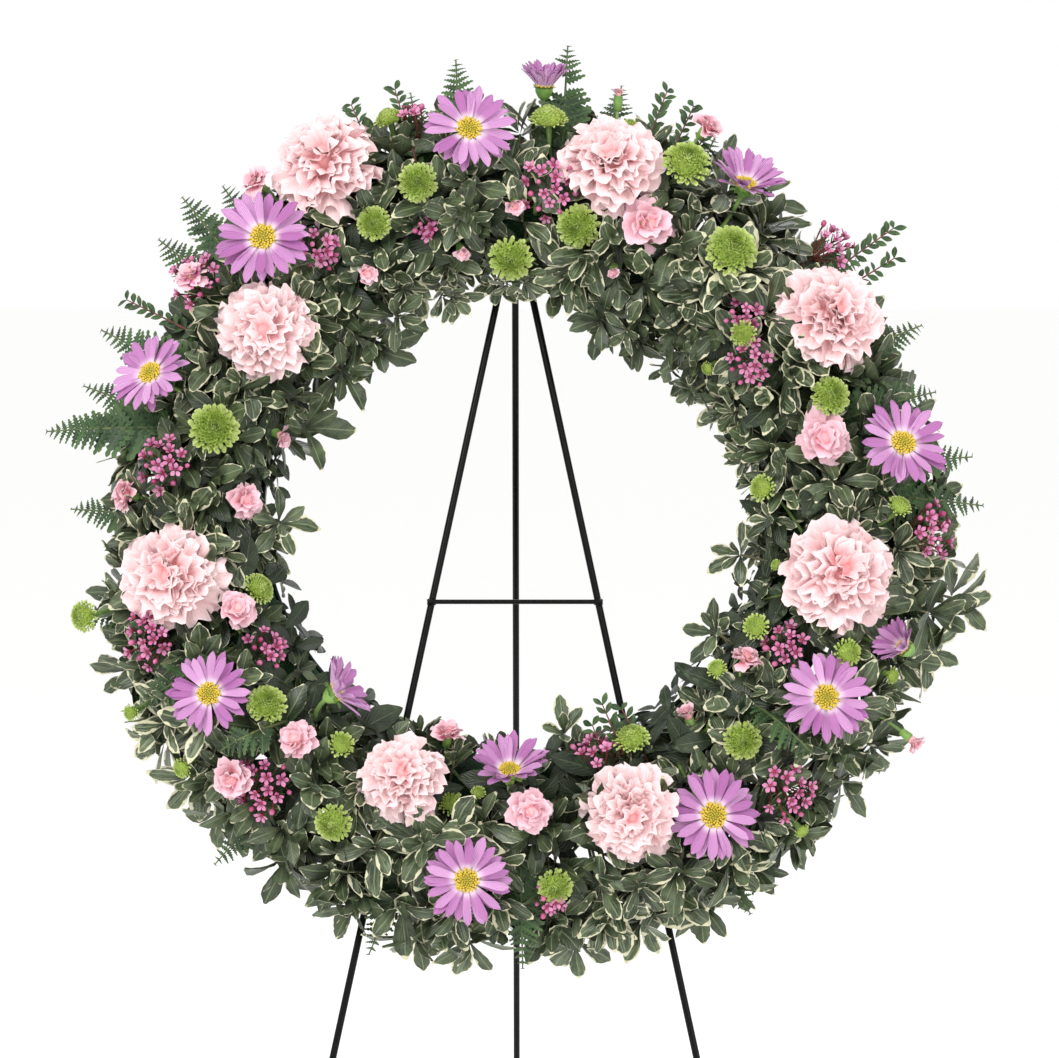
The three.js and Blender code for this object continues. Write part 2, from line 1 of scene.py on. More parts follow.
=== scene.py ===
"""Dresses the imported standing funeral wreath: its blooms, foliage, foam ring and wire easel.

Meshes are made in the frame of the ring, in metres: X right, Y towards the back, Z up the slope
of the front legs. A place in it is given as a clock angle (degrees, clockwise from the top, seen
from the front), a distance from the ring's centre and a lift forwards of the leg wires, both in
millimetres.
"""

import json
import math
import random

import bmesh
import bpy
from mathutils import Matrix, Vector, noise

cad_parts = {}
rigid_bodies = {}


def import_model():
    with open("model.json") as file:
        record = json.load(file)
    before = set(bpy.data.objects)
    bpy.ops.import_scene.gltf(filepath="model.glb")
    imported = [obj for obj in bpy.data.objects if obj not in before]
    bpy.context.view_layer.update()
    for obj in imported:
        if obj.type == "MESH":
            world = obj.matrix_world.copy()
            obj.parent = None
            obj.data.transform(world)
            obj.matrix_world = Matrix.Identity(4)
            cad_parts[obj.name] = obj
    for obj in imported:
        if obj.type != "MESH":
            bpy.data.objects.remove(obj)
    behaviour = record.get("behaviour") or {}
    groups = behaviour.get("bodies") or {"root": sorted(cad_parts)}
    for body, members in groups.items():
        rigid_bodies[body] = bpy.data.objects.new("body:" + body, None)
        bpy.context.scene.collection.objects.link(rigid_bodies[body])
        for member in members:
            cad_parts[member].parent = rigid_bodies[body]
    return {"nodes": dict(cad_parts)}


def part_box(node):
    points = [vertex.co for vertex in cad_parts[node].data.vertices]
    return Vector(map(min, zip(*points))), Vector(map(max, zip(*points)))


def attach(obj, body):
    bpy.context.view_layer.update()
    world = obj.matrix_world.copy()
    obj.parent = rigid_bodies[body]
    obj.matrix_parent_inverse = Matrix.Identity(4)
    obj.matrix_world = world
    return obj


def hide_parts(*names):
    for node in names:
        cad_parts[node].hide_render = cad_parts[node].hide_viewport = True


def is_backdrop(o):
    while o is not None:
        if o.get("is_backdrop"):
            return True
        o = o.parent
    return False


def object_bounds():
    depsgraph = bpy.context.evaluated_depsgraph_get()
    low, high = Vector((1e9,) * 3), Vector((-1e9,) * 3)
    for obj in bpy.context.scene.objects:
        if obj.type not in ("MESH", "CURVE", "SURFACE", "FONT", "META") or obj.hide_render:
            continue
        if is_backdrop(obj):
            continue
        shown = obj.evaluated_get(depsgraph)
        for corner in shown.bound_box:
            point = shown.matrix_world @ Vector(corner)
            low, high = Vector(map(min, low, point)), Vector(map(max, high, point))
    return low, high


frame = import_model()
cad_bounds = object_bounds()

MM = 0.001
GOLDEN = math.radians(137.508)
RING_LEAN = math.radians(12)
RING_CORE = 200.3  # from the ring's centre to the middle of its section, in millimetres
TRAY_MIDDLE = 12.7 * MM  # lift of the middle of the tray's box
FOAM_FACE = 50  # lift of the foam's front, in millimetres
HALF_SPREAD = math.radians(12)  # of each front leg from upright
APEX_RISE = 208  # height of the point where the front legs' lines meet, in millimetres
FRONT, REAR = "front_frame", "rear_leg"

# ---------------------------------------------------------------- planting plan
# Blooms: [clock, distance, width, lift, lean, clock the bloom leans towards].
CARNATIONS = [
    [331, 268, 72, 72, 30, 331],
    [16, 240, 66, 84, 18, 10],
    [304, 203, 64, 84, 10, 250],
    [60, 249, 68, 84, 20, 60],
    [257, 237, 66, 82, 14, 257],
    [103, 223, 74, 84, 8, 90],
    [202, 199, 54, 84, 16, 330],
    [160, 226, 62, 86, 14, 170],
]
DAISIES = [
    [353, 252, 62, 88, 16, 20],
    [316, 243, 66, 92, 14, 330],
    [289, 258, 58, 84, 32, 310],
    [4, 288, 33, 58, 62, 2],
    [36, 266, 60, 74, 48, 20],
    [82, 262, 64, 84, 26, 40],
    [237, 241, 56, 86, 8, 300],
    [222, 176, 54, 88, 76, 60],
    [181, 182, 58, 80, 46, 0],
    [148, 249, 63, 72, 10, 60],
    [123, 246, 62, 86, 10, 60],
    [111, 277, 32, 78, 52, 300],
    [187, 256, 60, 84, 14, 200],
]
# Sprays: the clock angle where the stem enters the foam, then its blooms.
BUTTON_SPRAYS = [
    [9, [359, 163, 29, 76, 24, 180], [13, 190, 29, 78, 16, 200], [5, 264, 26, 70, 56, 0],
     [27, 257, 32, 84, 20, 20], [17, 269, 15, 66, 40, 20]],
    [50, [41, 223, 34, 86, 10, 40], [54, 190, 18, 78, 14, 230], [72, 223, 26, 84, 12, 90],
     [55, 159, 10, 58, 50, 235]],
    [98, [87, 166, 19, 66, 34, 270], [91, 258, 17, 78, 40, 30], [115, 245, 19, 80, 20, 100],
     [118, 182, 18, 76, 20, 300], [104, 180, 8, 70, 40, 290], [115, 279, 12, 66, 50, 110]],
    [140, [137, 222, 25, 80, 12, 150], [154, 177, 25, 72, 46, 350], [174, 260, 23, 76, 20, 170],
     [130, 176, 14, 70, 30, 320], [139, 293, 11, 54, 60, 140]],
    [217, [192, 206, 18, 62, 20, 10], [209, 248, 25, 80, 24, 210], [215, 200, 18, 74, 20, 40],
     [230, 214, 26, 82, 16, 30], [187, 197, 10, 70, 30, 0]],
    [262, [251, 180, 22, 66, 48, 60], [255, 300, 21, 62, 34, 255], [283, 206, 33, 86, 10, 90],
     [241, 294, 12, 60, 40, 240], [231, 286, 14, 62, 40, 230]],
    [337, [333, 210, 23, 80, 10, 200], [342, 279, 21, 58, 60, 340], [343, 224, 26, 84, 12, 180]],
]
MINI_SPRAYS = [
    [22, [26, 207, 36, 86, 14, 100], [27, 292, 22, 62, 62, 40], [14, 295, 11, 44, 84, 4],
     [23, 170, 12, 66, 40, 200], [0, 199, 19, 80, 30, 180]],
    [78, [79, 211, 34, 82, 12, 200]],
    [130, [121, 314, 19, 50, 84, 130], [124, 187, 21, 72, 60, 20], [141, 183, 19, 62, 66, 340]],
    [186, [177, 210, 28, 92, 22, 130], [196, 160, 22, 60, 60, 10]],
    [232, [222, 217, 26, 84, 22, 300], [225, 266, 28, 74, 34, 230], [248, 198, 25, 82, 20, 60]],
    [278, [270, 179, 24, 72, 36, 90], [271, 264, 23, 70, 60, 280], [286, 163, 17, 58, 56, 120]],
    [316, [305, 268, 22, 76, 40, 330], [321, 284, 21, 62, 50, 300], [327, 183, 19, 76, 30, 160],
     [348, 173, 14, 66, 40, 170]],
]
# Waxflower sprays: their clusters as [clock, distance, spread, lift, lean, clock they lean to].
WAX_SPRAYS = [
    [[119, 204, 31, 78, 20, 300], [94, 284, 38, 70, 46, 94], [137, 270, 38, 72, 30, 137],
     [161, 172, 34, 70, 60, 350], [175, 270, 21, 72, 20, 170]],
    [[345, 279, 21, 60, 60, 345], [322, 214, 28, 80, 20, 150], [342, 194, 14, 74, 20, 160],
     [305, 266, 38, 72, 30, 300], [276, 238, 38, 80, 16, 290], [249, 263, 38, 74, 26, 250],
     [239, 191, 28, 72, 30, 60], [221, 257, 41, 74, 24, 220]],
    [[6, 211, 41, 82, 14, 190], [51, 195, 24, 78, 20, 220], [60, 181, 31, 76, 26, 230],
     [51, 285, 31, 66, 56, 60]],
]
# Small-leaved side shoots of the waxflower, for each spray: the tips as [clock, distance, lift].
WISPS = [
    [[157, 150, 74], [153, 158, 70], [161, 160, 66]],
    [[344, 300, 44], [338, 302, 34], [298, 300, 46]],
    [[54, 318, 64], [57, 308, 56], [24, 302, 46], [20, 306, 40], [27, 298, 40]],
]
# Ferns: the tips of their fronds as [clock, distance, lift].
FERNS = [
    [[352.5, 313, 40], [6.5, 322, 40], [335, 300, 20], [28, 296, 18], [346, 300, 24],
     [14, 306, 20], [18, 176, 40]],
    [[279, 322, 44], [293, 306, 48], [313, 312, 44], [307, 306, 40], [270, 304, 22],
     [256, 310, 16], [241, 286, 66], [229, 258, 84], [286, 308, 24], [318, 302, 26]],
    [[66, 304, 44], [75, 296, 50], [84, 312, 46], [90, 318, 40], [54, 296, 20],
     [104, 306, 26], [131, 262, 84], [126, 306, 20], [179, 312, 40], [150, 318, 22],
     [198, 318, 20], [220, 316, 18], [112, 176, 50]],
]
# How far the foliage reaches inwards and outwards, every 30 degrees of the clock.
INNER_REACH = [146, 130, 140, 160, 168, 168, 165, 168, 174, 170, 148, 142]
OUTER_REACH = [296, 291, 298, 308, 310, 320, 314, 312, 310, 290, 292, 290]
INNER_MARGIN, OUTER_MARGIN = 17, 34  # from the reach to the middles of the outermost whorls
# Shoots that stand out past the rows of leaves: clock, distance, lift, leaf length.
SHOOTS = [
    [102, 304, 40, 42], [109, 294, 24, 40], [97, 290, 20, 36], [31, 274, 36, 40], [38, 276, 20, 34],
    [338, 270, 36, 38], [350, 270, 20, 32], [20, 272, 18, 34], [88, 286, 24, 36],
    [124, 290, 30, 38], [140, 288, 22, 38], [155, 294, 20, 40], [163, 292, 26, 42],
    [172, 296, 18, 40], [186, 294, 16, 40], [193, 296, 26, 42], [202, 290, 20, 40],
    [213, 286, 28, 38], [224, 288, 18, 38], [236, 286, 26, 38], [247, 284, 18, 36],
    [312, 266, 30, 34], [322, 268, 18, 34], [30, 166, 20, 34], [22, 156, 34, 32],
    [60, 176, 26, 32], [305, 166, 28, 36], [316, 162, 22, 38], [287, 168, 34, 38],
    [262, 176, 42, 30], [120, 178, 40, 26], [100, 172, 40, 26], [165, 176, 44, 26],
]
BRANCHES = 8  # pittosporum branches, at even steps from this clock angle
FIRST_BRANCH = 20


# ---------------------------------------------------------------- places
def ring_frame():
    """The placement of the ring's frame, read from the tray's box."""
    low, high = (Vector(corner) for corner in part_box("ring_tray"))
    lean = Matrix.Rotation(-RING_LEAN, 4, "X")
    return Matrix.Translation((low + high) / 2) @ lean @ Matrix.Translation((0, TRAY_MIDDLE, 0))


RING = ring_frame()


def place(clock, distance, lift):
    """A place in the frame of the ring, from lengths in millimetres."""
    turn = math.radians(clock)
    return Vector((distance * MM * math.sin(turn), -lift * MM, distance * MM * math.cos(turn)))

def facing(lean, towards):
    """The way a bloom faces: straight forwards, leaning towards a clock angle."""
    side, turn = math.sin(math.radians(lean)), math.radians(towards)
    forwards = -math.cos(math.radians(lean))
    return Vector((side * math.sin(turn), forwards, side * math.cos(turn)))


def around(table, clock):
    """A value from a table of even steps round the clock, blended between its entries."""
    step = 360 / len(table)
    lower = int(clock % 360 // step)
    blend = clock % 360 / step - lower
    return table[lower] * (1 - blend) + table[(lower + 1) % len(table)] * blend


# ---------------------------------------------------------------- node trees
def colour(code):
    """A colour from its six-digit code, as linear light."""
    parts = [int(code[i:i + 2], 16) / 255 for i in (0, 2, 4)]
    return (*(p / 12.92 if p <= 0.04045 else ((p + 0.055) / 1.055) ** 2.4 for p in parts), 1.0)


def arithmetic(operation, flipped=False):
    """A method that adds a Math node to a value's tree."""
    def method(self, other):
        values = (other, self) if flipped else (self, other)
        return self.graph.math(operation, *values)
    return method


class Value:
    """A socket of a node tree. Arithmetic on it adds Math nodes to the tree."""

    def __init__(self, graph, socket):
        self.graph = graph
        self.socket = socket

    def beside(self, name):
        """Another output of the same node."""
        return Value(self.graph, pick(self.socket.node.outputs, name))

    def mixed(self, other, share):
        """This colour with a share of another one in it."""
        return self.graph.mix(self, other, share)

    def __neg__(self):
        return self.graph.math("MULTIPLY", self, -1)

    def __abs__(self):
        return self.graph.math("ABSOLUTE", self)

    __add__, __radd__ = arithmetic("ADD"), arithmetic("ADD", True)
    __sub__, __rsub__ = arithmetic("SUBTRACT"), arithmetic("SUBTRACT", True)
    __mul__, __rmul__ = arithmetic("MULTIPLY"), arithmetic("MULTIPLY", True)
    __truediv__, __pow__ = arithmetic("DIVIDE"), arithmetic("POWER")

class Graph:
    """A node tree while it is being wired."""

    def __init__(self, tree):
        self.tree = tree
        self.given = {}

    def __getitem__(self, name):
        return self.given[name]

    def feed(self, socket, value):
        """Links a value to a socket, or sets it. A colour is given by its code."""
        if isinstance(value, Value):
            self.tree.links.new(value.socket, socket)
        elif socket.type == "RGBA":
            socket.default_value = colour(value)
        else:
            socket.default_value = value

    def node(self, kind, *values, out=0, **named):
        """A new node's output. Its sockets take the values in line, or by name.

        Names in lower case are the node's settings, which come first. The others are its
        sockets, with _ for a space.
        """
        node = self.tree.nodes.new(kind)
        settings = {name: value for name, value in named.items() if name.islower()}
        for name, value in settings.items():
            if name == "stops":
                set_stops(node.color_ramp, value)
            else:
                setattr(node, name, value)
        inputs = dict(enumerate(values))
        inputs |= {name: value for name, value in named.items() if name not in settings}
        for key, value in inputs.items():
            self.feed(pick(node.inputs, key), value)
        return Value(self, pick(node.outputs, out))

    def math(self, operation, *values):
        return self.node("ShaderNodeMath", *values, operation=operation)

    def mix(self, first, second, share):
        return self.node("ShaderNodeMix", data_type="RGBA", Factor=share, A=first, B=second)

    def ramp(self, value, *stops):
        return self.node("ShaderNodeValToRGB", stops=stops, Fac=value)

    def smooth(self, value, low, high):
        """0 below low, 1 above high, and a soft step between them."""
        return self.node("ShaderNodeMapRange", interpolation_type="SMOOTHSTEP", Value=value,
                         From_Min=low, From_Max=high)

    def fade(self, value, low, high):
        """1 below low, 0 above high, and a soft step between them."""
        return 1 - self.smooth(value, low, high)

    def combine(self, x, y, z):
        return self.node("ShaderNodeCombineXYZ", x, y, z)

    def vector(self, operation, *values, **inputs):
        return self.node("ShaderNodeVectorMath", *values, operation=operation, **inputs)

    def noise(self, vector, scale, detail=2.0, out="Fac", **inputs):
        dimensions = "4D" if "W" in inputs else "3D"
        return self.node("ShaderNodeTexNoise", out=out, noise_dimensions=dimensions,
                         Vector=vector, Scale=scale, Detail=detail, **inputs)


def pick(sockets, key):
    """The socket with that name, or that place in line, among those that the node uses."""
    used = [socket for socket in sockets if socket.enabled]
    if isinstance(key, int):
        return used[key]
    return next(socket for socket in used if socket.name == key.replace("_", " "))


def set_stops(ramp, stops):
    while len(ramp.elements) < len(stops):
        ramp.elements.new(1)
    for element, (position, code) in zip(ramp.elements, stops):
        element.position = position
        element.color = colour(code)


def geometry_graph(name, **inputs):
    """A geometry tree with these named inputs besides its geometry."""
    tree = bpy.data.node_groups.new(name, "GeometryNodeTree")
    tree.is_modifier = True
    tree.interface.new_socket("Geometry", in_out="OUTPUT", socket_type="NodeSocketGeometry")
    inputs = {"Geometry": "Geometry", **inputs}
    for label, kind in inputs.items():
        tree.interface.new_socket(label, in_out="INPUT", socket_type="NodeSocket" + kind)
    graph = Graph(tree)
    entry = graph.node("NodeGroupInput")
    graph.given = {label: entry.beside(label) for label in inputs}
    return graph


def attribute(graph, name, kind="FLOAT"):
    return graph.node("GeometryNodeInputNamedAttribute", data_type=kind, Name=name)


def by_chance(graph, low, high, salt, kind="FLOAT"):
    """A repeatable random number for each element."""
    return graph.node("FunctionNodeRandomValue", data_type=kind, Min=low, Max=high,
                      Seed=graph["Seed"] + salt)


def between(first, last, share):
    return first + (last - first) * share


def turned_further(graph, base, *angles):
    """A rotation turned by three angles about its own axes."""
    own = graph.node("FunctionNodeEulerToRotation", Euler=graph.combine(*angles))
    return graph.node("FunctionNodeRotateRotation", rotation_space="LOCAL", Rotation=base,
                      Rotate_By=own)


def set_leaves(graph, points, rotation, scale, marks):
    """Instances from the leaf collection, marked with numbers that the materials read."""
    leaves = graph.node("GeometryNodeCollectionInfo", Collection=graph["Leaf"],
                        Separate_Children=True, Reset_Children=True)
    chosen = by_chance(graph, 0, 9, 91, "INT")  # an index past the last leaf starts over
    made = graph.node("GeometryNodeInstanceOnPoints", Points=points, Instance=leaves,
                      Pick_Instance=True, Instance_Index=chosen, Rotation=rotation, Scale=scale)
    for name, value in marks.items():
        made = graph.node("GeometryNodeStoreNamedAttribute", data_type="FLOAT",
                          domain="INSTANCE", Geometry=made, Name=name, Value=value)
    return made


def finish_tree(graph, made):
    done = graph.node("GeometryNodeSetMaterial", Geometry=made, Material=graph["Finish"])
    end = graph.tree.nodes.new("NodeGroupOutput")
    graph.tree.links.new(done.socket, end.inputs[0])
    return graph.tree


SEED_GAP = 3.7  # between two seeds in the noise


def ruffled(graph, made):
    """The instances realized, and ruffled more and more towards their tips."""
    real = graph.node("GeometryNodeRealizeInstances", Geometry=made)
    spot = graph.node("GeometryNodeInputPosition")
    waves = graph.noise(spot, graph["Grain"], 1.0, "Color", W=graph["Seed"] * SEED_GAP)
    swing = graph.vector("SUBTRACT", waves, (0.5, 0.5, 0.5))
    push = graph.vector("SCALE", swing, Scale=graph["Waver"] * 2 * attribute(graph, "along"))
    return graph.node("GeometryNodeSetPosition", Geometry=real, Offset=push)


def rosette_tree():
    """Petals or leaves in a spiral round each spot, which says its facing, width, turn and cup.

    A petal's root lies Root from the axis (all lengths are shares of the width), and Fill
    spreads the roots over that disc. Petals go from the first at the middle to the last at the
    rim, in length, in how steeply they rise, and in how far their roots stand along the axis.
    """
    graph = geometry_graph(
        "rosettes", Leaf="Collection", Count="Int", Step="Float", Root="Float", Fill="Float",
        RiseFirst="Float", RiseLast="Float", LiftFirst="Float", LiftLast="Float",
        LengthFirst="Float", LengthLast="Float", Twist="Float", Unrest="Float",
        Waver="Float", Grain="Float", Seed="Int", Finish="Material",
    )
    spots = graph.node("GeometryNodeDuplicateElements", domain="POINT",
                       Geometry=graph["Geometry"], Amount=graph["Count"])
    number = spots.beside("Duplicate Index")
    share = (number + 0.5) / graph["Count"]
    width, unrest = attribute(graph, "width"), graph["Unrest"]
    turn = number * graph["Step"] + attribute(graph, "turn") + unrest * by_chance(graph, -1, 1, 1)
    lift = between(graph["LiftFirst"], graph["LiftLast"], share) + attribute(graph, "cup")
    lift = lift + unrest * by_chance(graph, -1, 1, 2)
    twist = graph["Twist"] * by_chance(graph, -1, 1, 3)
    faced = attribute(graph, "facing", "FLOAT_VECTOR")
    base = graph.node("FunctionNodeAlignRotationToVector", axis="Z", Vector=faced)
    rotation = turned_further(graph, base, twist, -lift, turn)

    root = graph["Root"] * width * share ** graph["Fill"]
    rise = between(graph["RiseFirst"], graph["RiseLast"], share) * width
    east, north = root * graph.math("COSINE", turn), root * graph.math("SINE", turn)
    offset = graph.node("FunctionNodeRotateVector", Vector=graph.combine(east, north, rise),
                        Rotation=base)
    moved = graph.node("GeometryNodeSetPosition", Geometry=spots, Offset=offset)

    length = between(graph["LengthFirst"], graph["LengthLast"], share) * width
    size = length * by_chance(graph, 0.9, 1.08, 4)
    marks = {"tone": by_chance(graph, 0, 1, 5), "ring": share}
    made = set_leaves(graph, moved, rotation, size, marks)
    return finish_tree(graph, ruffled(graph, made))


def frond_tree():
    """Leaflets in pairs along each stalk, which says its face and the leaflets' size."""
    graph = geometry_graph(
        "fronds", Leaf="Collection", Spacing="Float", Sweep="Float", Droop="Float",
        Unrest="Float", Waver="Float", Grain="Float", Seed="Int", Finish="Material",
    )
    stalks = graph.node("GeometryNodeMeshToCurve", Mesh=graph["Geometry"])
    knots = graph.node("GeometryNodeCurveToPoints", mode="LENGTH", Curve=stalks,
                       Length=graph["Spacing"])
    pairs = graph.node("GeometryNodeDuplicateElements", domain="POINT", Geometry=knots, Amount=2)
    side = pairs.beside("Duplicate Index") * 2 - 1

    along = graph.node("FunctionNodeAlignRotationToVector", axis="X", pivot_axis="AUTO",
                       Vector=knots.beside("Tangent"))
    base = graph.node("FunctionNodeAlignRotationToVector", axis="Z", pivot_axis="X",
                      Rotation=along, Vector=attribute(graph, "face", "FLOAT_VECTOR"))
    unrest = graph["Unrest"]
    roll = unrest * by_chance(graph, -1, 1, 1)
    droop = graph["Droop"] + unrest * by_chance(graph, -1, 1, 2)
    sweep = side * (graph["Sweep"] + unrest * by_chance(graph, -0.6, 0.6, 3))
    rotation = turned_further(graph, base, roll, droop, sweep)

    size = attribute(graph, "size") * by_chance(graph, 0.88, 1.08, 4)
    made = set_leaves(graph, pairs, rotation, size, {"tone": by_chance(graph, 0, 1, 5)})
    return finish_tree(graph, ruffled(graph, made))


def wire_tree():
    """A round bar along each path, as thick as the path's points say, with closed ends."""
    graph = geometry_graph("wires", Sides="Int", Finish="Material")
    paths = graph.node("GeometryNodeMeshToCurve", Mesh=graph["Geometry"])
    section = graph.node("GeometryNodeCurvePrimitiveCircle", mode="RADIUS",
                         Resolution=graph["Sides"], Radius=1.0)
    made = graph.node("GeometryNodeCurveToMesh", Curve=paths, Profile_Curve=section,
                      Scale=attribute(graph, "thick"), Fill_Caps=True)
    return finish_tree(graph, graph.node("GeometryNodeRealizeInstances", Geometry=made))


# ---------------------------------------------------------------- what the trees grow from
def store(mesh, name, values):
    """Keeps numbers or vectors on a mesh's points."""
    if isinstance(values[0], Vector):
        layer = mesh.attributes.new(name, "FLOAT_VECTOR", "POINT")
        layer.data.foreach_set("vector", [number for vector in values for number in vector])
    else:
        layer = mesh.attributes.new(name, "FLOAT", "POINT")
        layer.data.foreach_set("value", values)


def paths_mesh(paths):
    """A chain of edges for each path, a list of points that each say their place and more."""
    knots = [knot for path in paths for knot in path]
    edges, start = [], 0
    for path in paths:
        edges += [(start + i, start + i + 1) for i in range(len(path) - 1)]
        start += len(path)
    mesh = bpy.data.meshes.new("paths")
    mesh.from_pydata([knot["at"] for knot in knots], edges, [])
    for name in knots[0]:
        if name != "at":
            store(mesh, name, [knot[name] for knot in knots])
    return mesh


def grown(mesh, tree, **settings):
    """What a tree makes of a mesh, as a plain mesh."""
    host = bpy.data.objects.new("host", mesh)
    bpy.context.collection.objects.link(host)
    modifier = host.modifiers.new("growth", "NODES")
    modifier.node_group = tree
    sockets = {item.name: item for item in tree.interface.items_tree if item.in_out == "INPUT"}
    for name, value in settings.items():
        modifier[sockets[name].identifier] = value
    graph = bpy.context.evaluated_depsgraph_get()
    made = bpy.data.meshes.new_from_object(
        host.evaluated_get(graph), preserve_all_data_layers=True, depsgraph=graph)
    bpy.data.objects.remove(host)
    bpy.data.meshes.remove(mesh)
    return made


# ---------------------------------------------------------------- petals and leaves
def leaf_object(name, points, faces, uvs, along, side):
    """A mesh for the trees, whose points say where they lie along it and on which side."""
    mesh = bpy.data.meshes.new(name)
    mesh.from_pydata(points, [], faces)
    layer = mesh.uv_layers.new(name="UVMap")
    layer.data.foreach_set("uv", [number for uv in uvs for number in uv])
    store(mesh, "along", along)
    store(mesh, "side", side)
    mesh.shade_smooth()
    return bpy.data.objects.new(name, mesh)


def blade_faces(outline, across, place_of):
    """The faces and UVs of a blade's two sides, from the places of its points in line."""
    faces, uvs = [], []
    for face in (1, -1):
        for i in range(len(outline) - 1):
            for j in range(across):
                corners = [(i, j), (i + 1, j), (i + 1, j + 1), (i, j + 1)][::face]
                faces.append([place_of[face, a, b] for a, b in corners])
                uvs += [(b / across, outline[a][0]) for a, b in corners]
    return faces, uvs


def blade(name, outline, bend=0.1, cup=0.0, folds=(0, 0.0), phase=0.0, notch=0.0, across=2,
          rounding=0.0, thickness=0.02):
    """A thin closed petal or leaf along +X that faces +Z. Its length is 1.

    outline is rows of [along, half width]. The tip bends back, the sides cup forwards, and
    folds of a count and a depth run lengthwise, deeper towards the tip. The two sides share
    the points of the rim.
    """
    count, depth = folds
    last = len(outline) - 1
    points, along, side, place_of = [], [], [], {}
    for face in (1, -1):
        for i, (out, half) in enumerate(outline):
            for j in range(across + 1):
                v = 2 * j / across - 1
                rim = i in (0, last) or j in (0, across)
                if rim and face < 0:
                    place_of[face, i, j] = place_of[1, i, j]
                    continue
                tooth = notch if i == last and j % 2 else 0
                fold = depth * out * out * math.sin(count * math.pi * v + phase)
                z = fold + cup * half * v * v - bend * out * out
                z += 0 if rim else face * thickness / 2
                place_of[face, i, j] = len(points)
                points.append((out * (1 - rounding * v * v) - tooth, half * v, z))
                along.append(out)
                side.append(0.0 if rim else float(face))
    leaf = leaf_object(name, points, *blade_faces(outline, across, place_of), along, side)
    sharp = leaf.data.attributes.new("sharp_edge", "BOOLEAN", "EDGE")
    on_rim = [all(side[v] == 0 for v in edge.vertices) for edge in leaf.data.edges]
    sharp.data.foreach_set("value", on_rim)
    return leaf


def lump(name, profile, sides=6):
    """A closed turned shape along +X from rows of [along, radius], whose length is 1."""
    points, along, faces, uvs = [], [], [], []
    for out, radius in profile:
        for j in range(sides):
            turn = 2 * math.pi * j / sides
            points.append((out, radius * math.cos(turn), radius * math.sin(turn)))
            along.append(out)
    for i in range(len(profile) - 1):
        for j in range(sides):
            corners = [(i, j), (i, j + 1), (i + 1, j + 1), (i + 1, j)]
            faces.append([a * sides + b % sides for a, b in corners])
            uvs += [(b / sides, profile[a][0]) for a, b in corners]
    for row in (0, len(profile) - 1):
        cap = [row * sides + j for j in range(sides)]
        faces.append(cap if row else cap[::-1])
        uvs += [(j / sides, profile[row][0]) for j in range(sides)]
    return leaf_object(name, points, faces, uvs, along, [1.0] * len(points))


def kit(name, *leaves):
    """A collection of leaves for the trees to choose from."""
    collection = bpy.data.collections.new(name)
    for leaf in leaves:
        collection.objects.link(leaf)
    return collection


def blade_kit(name, outline, *variants, **shared):
    """Blades of one outline. Each variant says its own bend, cup, folds, phase and notch."""
    return kit(name, *(blade(name, outline, *variant, **shared) for variant in variants))


def pinna_outline(lobes=5):
    """A fern's leaflet, lobed on both sides and narrowing to its tip."""
    rows = [(0.0, 0.02)]
    for i in range(lobes):
        low, high = (i + 0.5) / lobes, (i + 0.95) / lobes
        reach = 0.29 * (1 - i / lobes) ** 0.8
        rows += [(low, reach), (high, 0.4 * reach)]
    return rows + [(1.0, 0.008)]


LEAF_OUTLINE = [(0.0, 0.02), (0.2, 0.065), (0.43, 0.165), (0.68, 0.218), (0.88, 0.175), (1.0, 0.08)]
BROAD_OUTLINE = [(0.0, 0.02), (0.15, 0.1), (0.38, 0.2), (0.6, 0.22), (0.82, 0.15), (0.96, 0.05),
                 (1.0, 0.01)]
RAY_FOLDS = ((1.5, 0.014), math.pi / 2)

PETALS = blade_kit(
    "carnation petals",
    [(0.0, 0.05), (0.3, 0.12), (0.52, 0.28), (0.72, 0.42), (0.88, 0.48), (1.0, 0.47)],
    (0.4, 0.3, (1.8, 0.1), 0.4, 0.03), (0.55, 0.1, (2.2, 0.12), 1.6, 0.03),
    (0.26, 0.5, (2.6, 0.11), 2.9, 0.03), (0.46, -0.2, (2.0, 0.13), 4.1, 0.03),
    (0.34, 0.6, (2.4, 0.09), 5.2, 0.03), across=10, rounding=0.2, thickness=0.012)
MINI_PETALS = blade_kit(
    "mini petals", [(0.0, 0.08), (0.35, 0.24), (0.62, 0.42), (0.85, 0.5), (1.0, 0.44)],
    (0.24, 0.4, (1.6, 0.075), 0.5, 0.045), (0.4, 0.2, (2.0, 0.075), 2.2, 0.045),
    (0.18, 0.6, (1.4, 0.075), 3.9, 0.045), across=8, rounding=0.24, thickness=0.016)
RAYS = blade_kit(
    "daisy rays", [(0.0, 0.06), (0.3, 0.1), (0.62, 0.135), (0.86, 0.125), (1.0, 0.05)],
    (0.04, 0.5, *RAY_FOLDS, 0.02), (0.1, 0.3, *RAY_FOLDS, 0.03), (-0.05, 0.6, *RAY_FOLDS, 0.0),
    across=4, rounding=0.05, thickness=0.014)
BUTTON_PETALS = blade_kit("button petals", [(0.0, 0.2), (0.62, 0.4), (1.0, 0.24)],
                          (-0.16, 0.9), (-0.28, 0.9), rounding=0.1, thickness=0.03)
WAX_PETALS = blade_kit("wax petals", [(0.0, 0.12), (0.4, 0.32), (0.75, 0.36), (1.0, 0.14)],
                       (-0.1, 0.3), (-0.22, 0.3), rounding=0.12, thickness=0.05)
LEAVES = blade_kit("pittosporum leaves", LEAF_OUTLINE, (0.12, 0.25, (1, 0.02), 0.0),
                   (0.22, 0.4, (1.5, 0.02), 1.0), (0.04, 0.15, (1, 0.02), 2.4),
                   across=4, rounding=0.08, thickness=0.012)
